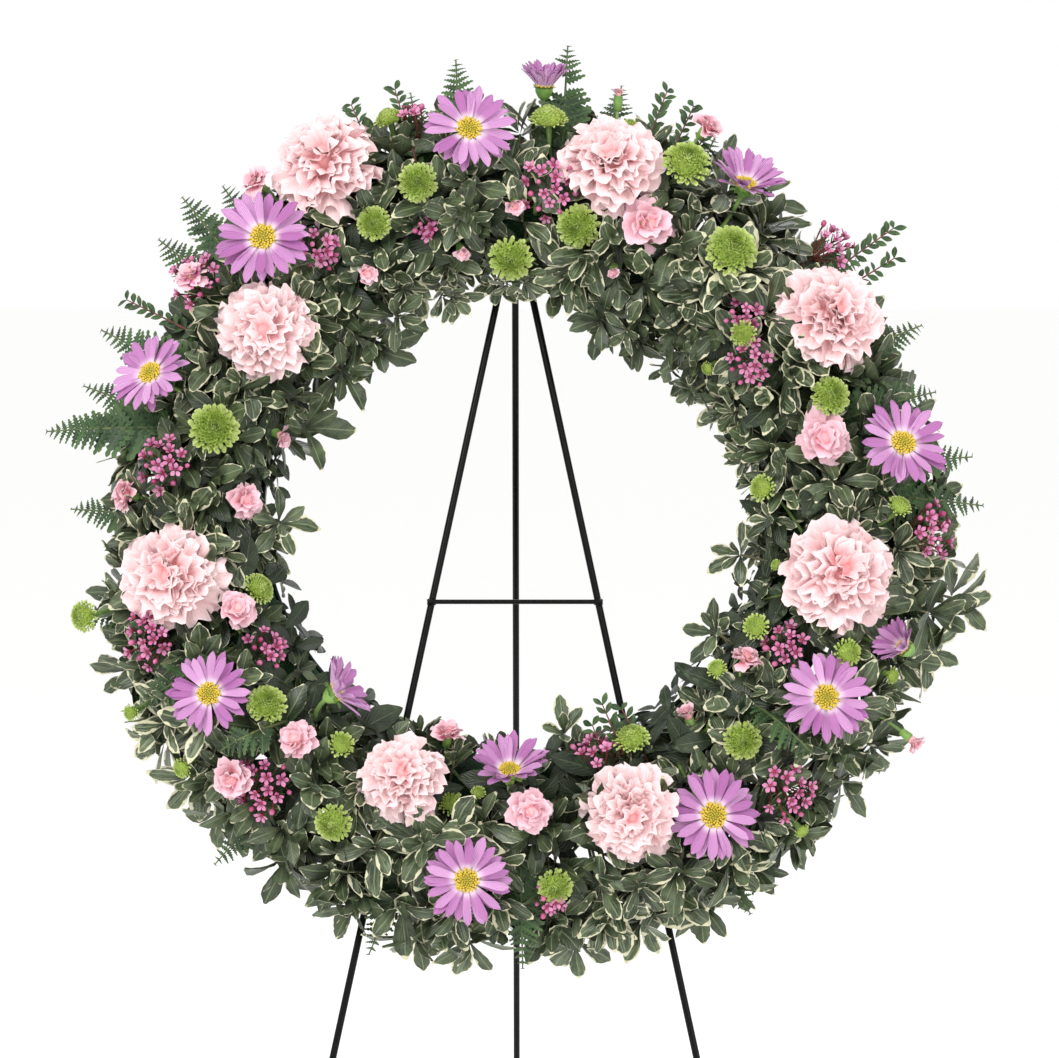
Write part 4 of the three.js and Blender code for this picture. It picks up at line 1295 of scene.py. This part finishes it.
def thinned(mesh, leaves):
    """Drops the leaves that would pass through the frame or a bloom, or hide a bloom's face."""
    size = len(leaves.objects[0].data.vertices)
    places = [v.co for v in mesh.vertices]
    doomed = set()
    for start in range(0, len(places), size):
        root = places[start]
        near = [bloom for bloom in HULLS
                if math.hypot(root.x - bloom[0].x, root.z - bloom[0].z) < bloom[2] + LONGEST_LEAF]
        leaf = places[start:start + size:3]
        if (any(in_frame(point) for point in leaf)
                or any(hides(point, bloom) for bloom in near for point in leaf)):
            doomed.update(range(start, start + size))
    shape = bmesh.new()
    shape.from_mesh(mesh)
    shape.verts.ensure_lookup_table()
    bmesh.ops.delete(shape, geom=[shape.verts[i] for i in doomed], context="VERTS")
    shape.to_mesh(mesh)
    shape.free()
    return mesh


WHORL_ROWS = [  # how far across the ring from its inner edge, lift, clock steps, leaf length
    (-0.04, 44, 40, 24), (0.02, 52, 36, 28), (0.05, 28, 38, 32), (0.16, 48, 40, 36),
    (0.3, 60, 40, 38), (0.45, 68, 42, 40), (0.61, 66, 46, 40), (0.77, 56, 50, 40),
    (0.9, 42, 54, 38), (1.0, 26, 56, 38), (0.96, 6, 50, 38),
]
LEVEL_SHARE = 0.47  # how far across the ring the leaves face straight forwards
LEAN_RANGE = 140  # from the innermost leaves' lean to the outermost ones'
SHOOT_LEAN_OUT, SHOOT_LEAN_IN = 60, -50
WHORL_TURN, DARK_TURN = 36, 15  # how far leaves lean by chance, in degrees
PALE_PLACE, PALE_REACH = place(41, 222, 60), 46 * MM  # round the palest leaves
CREAM_MIDDLE, CREAM_SWING, CREAM_GRAIN, PALE_GAIN = 0.34, 0.85, 16, 0.9


def creaminess(at):
    """How much cream the leaves at a place carry. Leaves of one shoot are alike."""
    pale = max(0.0, 1 - (at - PALE_PLACE).length / PALE_REACH)
    cream = CREAM_MIDDLE + CREAM_SWING * noise.noise(at * CREAM_GRAIN) + PALE_GAIN * pale
    return min(1.0, max(0.0, cream))


def across_ring(share, clock):
    """A distance from the ring's centre, from the innermost whorls to the outermost."""
    inner = around(INNER_REACH, clock) + INNER_MARGIN
    outer = around(OUTER_REACH, clock) - OUTER_MARGIN
    return inner + (outer - inner) * share


def round_ring(steps, shift=0.0):
    """Clock angles at even steps round the ring, each a little off."""
    for i in range(steps):
        yield 360 * (i + chance.uniform(-0.4, 0.4) + shift) / steps


def whorl(clock, distance, lift, lean, length):
    at = sunk(place(clock, distance, lift))
    way = facing(lean, clock + chance.uniform(-WHORL_TURN, WHORL_TURN))
    return {"at": at, "facing": way, "turn": any_turn(), "width": length * MM,
            "cup": chance.uniform(-0.25, 0.25), "cream": creaminess(at), "clock": clock % 360}


def whorl_spots():
    """Where the whorls of leaves sit: rows round the ring from its hole to its outer edge."""
    spots = []
    for share, lift, steps, length in WHORL_ROWS:
        for clock in round_ring(steps, 0.5 if lift % 4 < 2 else 0.0):
            distance = across_ring(share, clock) + chance.uniform(-10, 10)
            lean = (share - LEVEL_SHARE) * LEAN_RANGE + chance.uniform(-26, 26)
            spots.append(whorl(clock, distance, lift + chance.uniform(-7, 9), lean,
                               length * chance.uniform(0.72, 1.1)))
    for clock, distance, lift, length in SHOOTS:
        lean = SHOOT_LEAN_OUT if distance > RING_CORE else SHOOT_LEAN_IN
        spots.append(whorl(clock, distance, lift, lean, length))
        spots.append(whorl(clock + 3, distance - 16, lift + 14, lean * 0.5, length))
    return spots


# The dark leaves of both tables lie as a layer of painted shade over the foam and behind the whorls.
COVER_ROWS = [  # distance, lift, lean, steps and length of the dark leaves over the foam
    (169, 27, -60, 54, 16), (169, 40, -66, 50, 20), (178, 52, -34, 46, 28), (194, 57, -6, 44, 36),
    (210, 57, 12, 46, 38), (224, 52, 34, 48, 36), (236, 34, 56, 50, 34),
]
BACKING_ROWS = [  # how far across the ring, lift, lean, steps and length of those further out
    (0.7, 38, 26, 50, 42), (0.86, 20, 34, 56, 38), (0.68, 12, 96, 56, 36), (0.85, 8, 110, 50, 34),
]


def dark_leaves(distance, lift, lean, clock, length):
    way = facing(lean + chance.uniform(-DARK_TURN, DARK_TURN), clock)
    return {"at": place(clock, distance, lift), "facing": way, "turn": any_turn(),
            "width": length * chance.uniform(0.8, 1.15) * MM, "cup": 0.0, "clock": clock % 360}


def shade_leaf_spots():
    """Where broad dark leaves lie over the foam and behind the whorls, as a layer of painted shade.
    """
    spots = []
    for distance, lift, lean, steps, length in COVER_ROWS:
        spots += [dark_leaves(distance, lift, lean, clock, length) for clock in round_ring(steps)]
    for share, lift, lean, steps, length in BACKING_ROWS:
        for clock in round_ring(steps):
            distance = across_ring(share, clock) + chance.uniform(-5, 5)
            spots.append(dark_leaves(distance, lift, lean, clock, length))
    return spots


TWIG_RISE = Vector((0, -10 * MM, 0))


def twig_to(spot):
    """A twig out of the foam to a whorl, bowed forwards."""
    root = place(spot["clock"], RING_CORE, FOAM_FACE * 0.8)
    bow = (root + spot["at"]) / 2 + TWIG_RISE
    return bend_path(root, bow, spot["at"], [1.5, 1.1, 0.9], 5)


def make_pittosporum(number, spots, shade_leaves):
    whorls = rosettes(
        LEAVES, spots, VARIEGATED, number, 8, 0.04, rise=(0.1, -0.1), lift=(1.15, 0.1),
        length=(0.6, 1.0), twist=0.5, unrest=0.26, waver=0.004, grain=40.0)
    # Dark leaves laid as painted shade under and behind the whorls.
    cover = rosettes(
        BROAD_LEAVES, shade_leaves, BROAD, number + 50, 2, 0.05, fill=0.0, step=2.6, rise=(0.1, 0.05),
        lift=(0.5, 0.2), length=(0.9, 1.0), twist=0.4, unrest=0.3, waver=0.003, grain=40.0)
    meshes = [thinned(whorls, LEAVES), thinned(cover, BROAD_LEAVES),
              wires([twig_to(spot) for spot in spots], TWIG, 5)]
    make_piece(f"pittosporum_branch_{number}", meshes, f"pittosporum_{number}")


FERN_WIDTH = 0.28  # the longest leaflets, as a share of the frond's length
BARE_SHARE = 0.15  # of a stalk, from its root
LEAST_SHARE = 0.07  # the smallest leaflets, as a share of the longest
FERN_RISE = 34  # how far a stalk rises above its tip on the way, in millimetres


def frond_path(root, tip):
    """A fern's stalk: out of the foam, over the ring's edge and on to its tip."""
    clock, distance, lift = tip
    start = place(root, RING_CORE, FOAM_FACE * 0.9)
    over = place((clock * 2 + root) / 3, (RING_CORE + distance) / 2, lift + FERN_RISE)
    return bend_path(start, over, place(clock, distance, lift), [1.3, 1.0, 0.5], 12)


def blade_path(stalk, face):
    """A fern's stalk with the size of its leaflets along it."""
    length = sum((b["at"] - a["at"]).length for a, b in zip(stalk, stalk[1:]))
    path = []
    for i, knot in enumerate(stalk):
        share = i / (len(stalk) - 1)
        reach = max(0.0, min(1.0, (share - BARE_SHARE) * 5)) * (1 - share) ** 0.75
        size = FERN_WIDTH * length * (reach + LEAST_SHARE)
        path.append({"at": knot["at"], "face": face, "size": size})
    return path


def make_fern(number, tips):
    stalks, blades = [], []
    for tip in tips:
        stalk = frond_path(tip[0] + chance.uniform(-6, 6), tip)
        face = facing(chance.uniform(10, 35), tip[0] + chance.uniform(-60, 60))
        stalks.append(stalk)
        blades.append(blade_path(stalk, face))
    leaflets = fronds(PINNAE, blades, number, 0.005, 1.05, 0.12, 0.14, 0.0025)
    meshes = [thinned(leaflets, PINNAE), wires(stalks, FERN_STALK, 6)]
    make_piece(f"fern_fronds_{number}", meshes, f"fern_{number}")


# ---------------------------------------------------------------- foam, tray and easel
def ring_mesh(name, section, steps, finish):
    """A closed ring from [distance, lift] corners, with its faces outwards."""
    shape = bmesh.new()
    loops = [[shape.verts.new(place(360 * i / steps, distance, lift))
              for distance, lift in section] for i in range(steps)]
    for loop, following in zip(loops, loops[1:] + loops[:1]):
        for j in range(len(section)):
            k = (j + 1) % len(section)
            shape.faces.new((loop[j], loop[k], following[k], following[j]))
    bmesh.ops.recalc_face_normals(shape, faces=shape.faces)
    mesh = bpy.data.meshes.new(name)
    shape.to_mesh(mesh)
    shape.free()
    mesh.materials.append(finish)
    mesh.shade_smooth()
    return mesh


def rounded(section, radius, steps):
    """A section's corners rounded off."""
    corners = []
    for i, corner in enumerate(section):
        here = Vector(corner)
        before, after = Vector(section[i - 1]), Vector(section[(i + 1) % len(section)])
        back, ahead = before - here, after - here
        cut = min(radius, back.length * 0.45, ahead.length * 0.45)
        start, end = here + back.normalized() * cut, here + ahead.normalized() * cut
        corners += [tuple(curve_point(start, here, end, k / steps)) for k in range(steps + 1)]
    return corners


# Lengths of the foam, the tray and the easel are in millimetres.
RING_INNER, RING_OUTER = 172.0, 228.6
TRAY_BACK, TRAY_RIM, TRAY_WALL = 2.7, 22.7, 2.0
LIP, LIP_HIGH = 0.8, 2  # the bead along the tray's rim
GROOVES = (186, 200.3, 214.6)  # in the tray's back, at these distances
GROOVE_DEPTH = 1.1
GROOVE_TOP, GROOVE_FLOOR = 2.4, 1.5  # half the width of a groove
PLAY = 0.3  # between parts that fit into each other
FOAM_EDGE_OUT, FOAM_EDGE_UP = 12, 14  # how far the foam's front edges are cut back


def make_tray():
    floor = TRAY_BACK + TRAY_WALL
    back = []
    for middle in GROOVES:
        back += [(middle - GROOVE_TOP, TRAY_BACK), (middle - GROOVE_FLOOR, TRAY_BACK + GROOVE_DEPTH),
                 (middle + GROOVE_FLOOR, TRAY_BACK + GROOVE_DEPTH), (middle + GROOVE_TOP, TRAY_BACK)]
    lip, neck = TRAY_RIM - LIP_HIGH, TRAY_RIM - LIP_HIGH - 1
    section = [
        (RING_INNER, TRAY_BACK), *back, (RING_OUTER, TRAY_BACK), (RING_OUTER, neck),
        (RING_OUTER + LIP, lip), (RING_OUTER + LIP, TRAY_RIM), (RING_OUTER - TRAY_WALL, TRAY_RIM),
        (RING_OUTER - TRAY_WALL, floor), (RING_INNER + TRAY_WALL, floor),
        (RING_INNER + TRAY_WALL, TRAY_RIM), (RING_INNER - LIP, TRAY_RIM), (RING_INNER - LIP, lip),
        (RING_INNER, neck),
    ]
    tray = ring_mesh("tray", rounded(section, 1.0, 2), 96, PLASTIC)
    make_piece("wreath_tray", [tray], "ring_tray")


def make_foam():
    inner, outer = RING_INNER + TRAY_WALL + PLAY, RING_OUTER - TRAY_WALL - PLAY
    back, side = TRAY_BACK + TRAY_WALL + PLAY, FOAM_FACE - FOAM_EDGE_UP
    section = [(inner, back), (outer, back), (outer, side), (outer - FOAM_EDGE_OUT, FOAM_FACE),
               (inner + FOAM_EDGE_OUT, FOAM_FACE), (inner, side)]
    foam = ring_mesh("foam", rounded(section, 7.0, 3), 120, FOAM)
    for vertex in foam.vertices:
        if vertex.co.y < -TRAY_RIM * MM:
            swell = noise.noise(vertex.co * 60) + 0.5 * noise.noise(vertex.co * 170)
            vertex.co.y += swell * 1.2 * MM
    make_piece("foam_core", [foam], "foam_ring")


LEG_RADIUS, CROSS_RADIUS, HOOK_RADIUS = 2.4, 1.6, 2.0
# Along the front legs, down from the point where their lines meet.
LEG_TOP, CROSSBAR_DROP, LEG_DROP = 12.3, 270, 1041.5
CROSSBAR_END = 3  # past the line of each leg
WELD_LENGTH, WELD_RADIUS = 6.5, 1.3
HOOK_REACH, HOOK_TIP, HOOK_BEND = 54, 10, 6  # forwards, up at its end, and the bend's length
REAR_ANGLE = math.radians(32)
PIVOT = Vector((0, 12, 188))
REAR_DOWN = Vector((0, math.sin(REAR_ANGLE), -math.cos(REAR_ANGLE)))
REAR_LENGTH, LEVER_LENGTH = 1060.6, 10.6  # from the pivot
EYE_RADIUS, EYE_WIRE = 4.6, LEG_RADIUS * 0.97
TIE_CLOCK, TIE_RADIUS = 163.5, 0.8
TIE_KNOTS, TIE_STEP, TIE_RISE = 25, 0.9, 0.5  # points of each twisted end; its turn and rise


def leg_point(side, drop):
    return Vector((side * drop * math.tan(HALF_SPREAD), 0, APEX_RISE - drop))


DOME = [(0, 0.45), (0.15, 0.75), (0.45, 0.95), (0.9, 1.0)]  # reach and radius of a rounded end
WELD = [(-0.5, 0.25), (-0.35, 0.8), (0, 1.0), (0.35, 0.8), (0.5, 0.25)]


def rod(start, end, radius, knots=12):
    """A straight bar with softly domed ends."""
    along = end - start
    length = along.length
    dome = [(cut * radius, share) for cut, share in DOME]
    path = dome + [(length * i / knots, 1.0) for i in range(1, knots)]
    path += [(length - cut, share) for cut, share in reversed(dome)]
    return [{"at": (start + along * (reach / length)) * MM, "thick": radius * share * MM}
            for reach, share in path]


def bead(middle, way, length, radius):
    """A blob of weld."""
    return [{"at": (middle + way * (length * reach)) * MM, "thick": radius * share * MM}
            for reach, share in WELD]


def make_front_legs():
    for side, name in ((-1, "left"), (1, "right")):
        bar = rod(leg_point(side, LEG_TOP), leg_point(side, LEG_DROP), LEG_RADIUS, 24)
        make_piece(f"easel_leg_{name}", [wires([bar], ENAMEL, 20)],
                   f"front_leg_{name}")


def make_crossbar():
    forward = Vector((0, -(LEG_RADIUS + CROSS_RADIUS + PLAY), 0))
    ends = [leg_point(side, CROSSBAR_DROP) + forward + Vector((side * CROSSBAR_END, 0, 0))
            for side in (-1, 1)]
    welds = []
    for side in (-1, 1):
        joint = leg_point(side, CROSSBAR_DROP) + Vector((0, -LEG_RADIUS - 0.2, 0))
        welds += [bead(joint + Vector((0, 0, rise)), Vector((1, 0, 0)), WELD_LENGTH, WELD_RADIUS)
                  for rise in (-WELD_RADIUS, WELD_RADIUS)]
    meshes = [wires([rod(*ends, CROSS_RADIUS)], ENAMEL, 16), wires(welds, ENAMEL, 10)]
    make_piece("easel_crossbar", meshes, "crossbar")


def make_hook():
    """A bar between the legs, and an arm forwards from it with its tip bent up."""
    rise = RING_INNER - HOOK_RADIUS - PLAY
    half_gap = (APEX_RISE - rise) * math.tan(HALF_SPREAD) - LEG_RADIUS - 0.6
    bar = rod(Vector((-half_gap, 0, rise)), Vector((half_gap, 0, rise)), HOOK_RADIUS, 4)
    arm = rod(Vector((0, 0, rise)), Vector((0, HOOK_BEND - HOOK_REACH, rise)), HOOK_RADIUS, 4)[:-3]
    elbow = bend_path(arm[-1]["at"], Vector((0, -HOOK_REACH - 1, rise)) * MM,
                      Vector((0, -HOOK_REACH, rise + HOOK_TIP)) * MM, [HOOK_RADIUS, HOOK_RADIUS])
    meshes = [wires([bar, arm + elbow[1:]], ENAMEL, 14)]
    make_piece("easel_hook", meshes, "ring_hook")


def rear_point(distance):
    """A point on the rear leg's line, down from the pivot."""
    return PIVOT + REAR_DOWN * distance


def make_rear_leg():
    leg = rod(rear_point(EYE_RADIUS), rear_point(REAR_LENGTH), LEG_RADIUS, 24)
    lever = rod(rear_point(-EYE_RADIUS), rear_point(-LEVER_LENGTH), LEG_RADIUS, 3)
    eye, steps = [], 28
    for i in range(steps + 1):
        turn = 2 * math.pi * i / steps
        off = Vector((0, math.cos(turn), math.sin(turn))) * EYE_RADIUS
        eye.append({"at": (PIVOT + off) * MM, "thick": EYE_WIRE * MM})
    meshes = [wires([leg, lever, eye], ENAMEL, 20)]
    make_piece("easel_rear_leg", meshes, "rear_leg", body=REAR)


def smoothed(points, rounds=3):
    """A closed chain of points with its corners cut again and again."""
    for _ in range(rounds):
        cut = []
        for point, after in zip(points, points[1:] + points[:1]):
            cut += [point * 0.75 + after * 0.25, point * 0.25 + after * 0.75]
        points = cut
    return points


def twisted_end(knot, start):
    """One of the two wires twisted round each other, forwards from where they meet."""
    path = []
    for i in range(TIE_KNOTS):
        turn = start + i * TIE_STEP
        swing = Vector((math.cos(turn), 0, math.sin(turn))) * TIE_RADIUS * MM
        path.append({"at": knot + swing + Vector((0, -TIE_RISE * i * MM, 0)),
                     "thick": TIE_RADIUS * 0.9 * MM})
    return path


def make_tie(side, name):
    """A wire bound round the ring and the leg behind it, its ends twisted together in front."""
    slack = TIE_RADIUS + 1.1
    back, front, edge = -LEG_RADIUS - slack, FOAM_FACE + slack, 34
    corners = [(RING_INNER - slack, back), (RING_OUTER + slack, back), (RING_OUTER + slack, edge),
               (RING_OUTER - 12, front), (RING_INNER + 12, front), (RING_INNER - slack, edge)]
    loop = smoothed([place(side * TIE_CLOCK, distance, lift) for distance, lift in corners])
    knot = place(side * TIE_CLOCK, RING_CORE, front)
    paths = [[{"at": point, "thick": TIE_RADIUS * MM} for point in [*loop, loop[0]]],
             twisted_end(knot, 0), twisted_end(knot, math.pi)]
    make_piece(f"ring_tie_{name}", [wires(paths, TIE_STEEL, 8)], f"tie_wire_{name}")


# ---------------------------------------------------------------- stage, light and camera
FLOOR_REACH = 40  # metres from its middle
LAMPS = {  # place, size and power
    "key": ((-1.2, -2.2, 2.6), 1.6, 42),
    "fill": ((1.8, -2.0, 1.6), 1.8, 14),
    "rim": ((0.6, 2.0, 2.6), 1.4, 16),
}


def make_stage():
    mesh = bpy.data.meshes.new("floor")
    square = ((-1, -1), (1, -1), (1, 1), (-1, 1))
    corners = [(x * FLOOR_REACH, y * FLOOR_REACH, 0) for x, y in square]
    mesh.from_pydata(corners, [], [(0, 1, 2, 3)])
    finish = Finish("pale_floor", Base_Color=colour("FDFDFC"), Roughness=0.95)
    mesh.materials.append(finish.material)
    floor = bpy.data.objects.new("floor", mesh)
    bpy.context.collection.objects.link(floor)
    floor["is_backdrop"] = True


def make_light():
    world = bpy.data.worlds.new("studio")
    bpy.context.scene.world = world
    world.use_nodes = True
    sky = world.node_tree.nodes["Background"]
    sky.inputs["Color"].default_value = (1, 1, 1, 1)
    sky.inputs["Strength"].default_value = 1.0
    for name, (at, size, power) in LAMPS.items():
        data = bpy.data.lights.new(name, "AREA")
        data.size, data.energy = size, power
        lamp = bpy.data.objects.new(name, data)
        lamp.location = at
        towards = RING.to_translation() - Vector(at)
        lamp.rotation_euler = towards.to_track_quat("-Z", "Y").to_euler()
        bpy.context.collection.objects.link(lamp)


CAMERA_DISTANCE, CAMERA_RISE, LENS, SENSOR = 2.4, math.radians(5), 118.0, 36.0
AIM = Vector((10 * MM, 0, -11 * MM))  # from the ring's centre


def make_camera():
    data = bpy.data.cameras.new("camera")
    data.lens, data.sensor_width = LENS, SENSOR
    camera = bpy.data.objects.new("camera", data)
    target = RING.to_translation() + AIM
    back = Vector((0, -math.cos(CAMERA_RISE), math.sin(CAMERA_RISE)))
    camera.location = target + back * CAMERA_DISTANCE
    camera.rotation_euler = (-back).to_track_quat("-Z", "Y").to_euler()
    bpy.context.collection.objects.link(camera)
    bpy.context.scene.camera = camera


# ---------------------------------------------------------------- the wreath
PLANTED = (
    (CARNATIONS, make_carnation), (DAISIES, make_daisy), (BUTTON_SPRAYS, make_button_spray),
    (MINI_SPRAYS, make_mini_spray), (WAX_SPRAYS, make_wax_spray), (FERNS, make_fern),
)
for plan, make in PLANTED:
    for number, entry in enumerate(plan, 1):
        make(number, entry)
whorls, shade_leaves = whorl_spots(), shade_leaf_spots()
for number in range(1, BRANCHES + 1):
    low = FIRST_BRANCH + 360 * (number - 1.5) / BRANCHES
    shares = [[spot for spot in spots if (spot["clock"] - low) % 360 < 360 / BRANCHES]
              for spots in (whorls, shade_leaves)]
    make_pittosporum(number, *shares)

make_tray()
make_foam()
make_front_legs()
make_crossbar()
make_hook()
make_rear_leg()
make_tie(-1, "left")
make_tie(1, "right")
for node in ("hinge_bracket", "hinge_pin"):
    for slot in frame["nodes"][node].material_slots:
        slot.material = ENAMEL

make_stage()
make_light()
make_camera()
bpy.context.scene.view_settings.view_transform = "Standard"

boxes = [[list(corner) for corner in box] for box in (cad_bounds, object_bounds())]
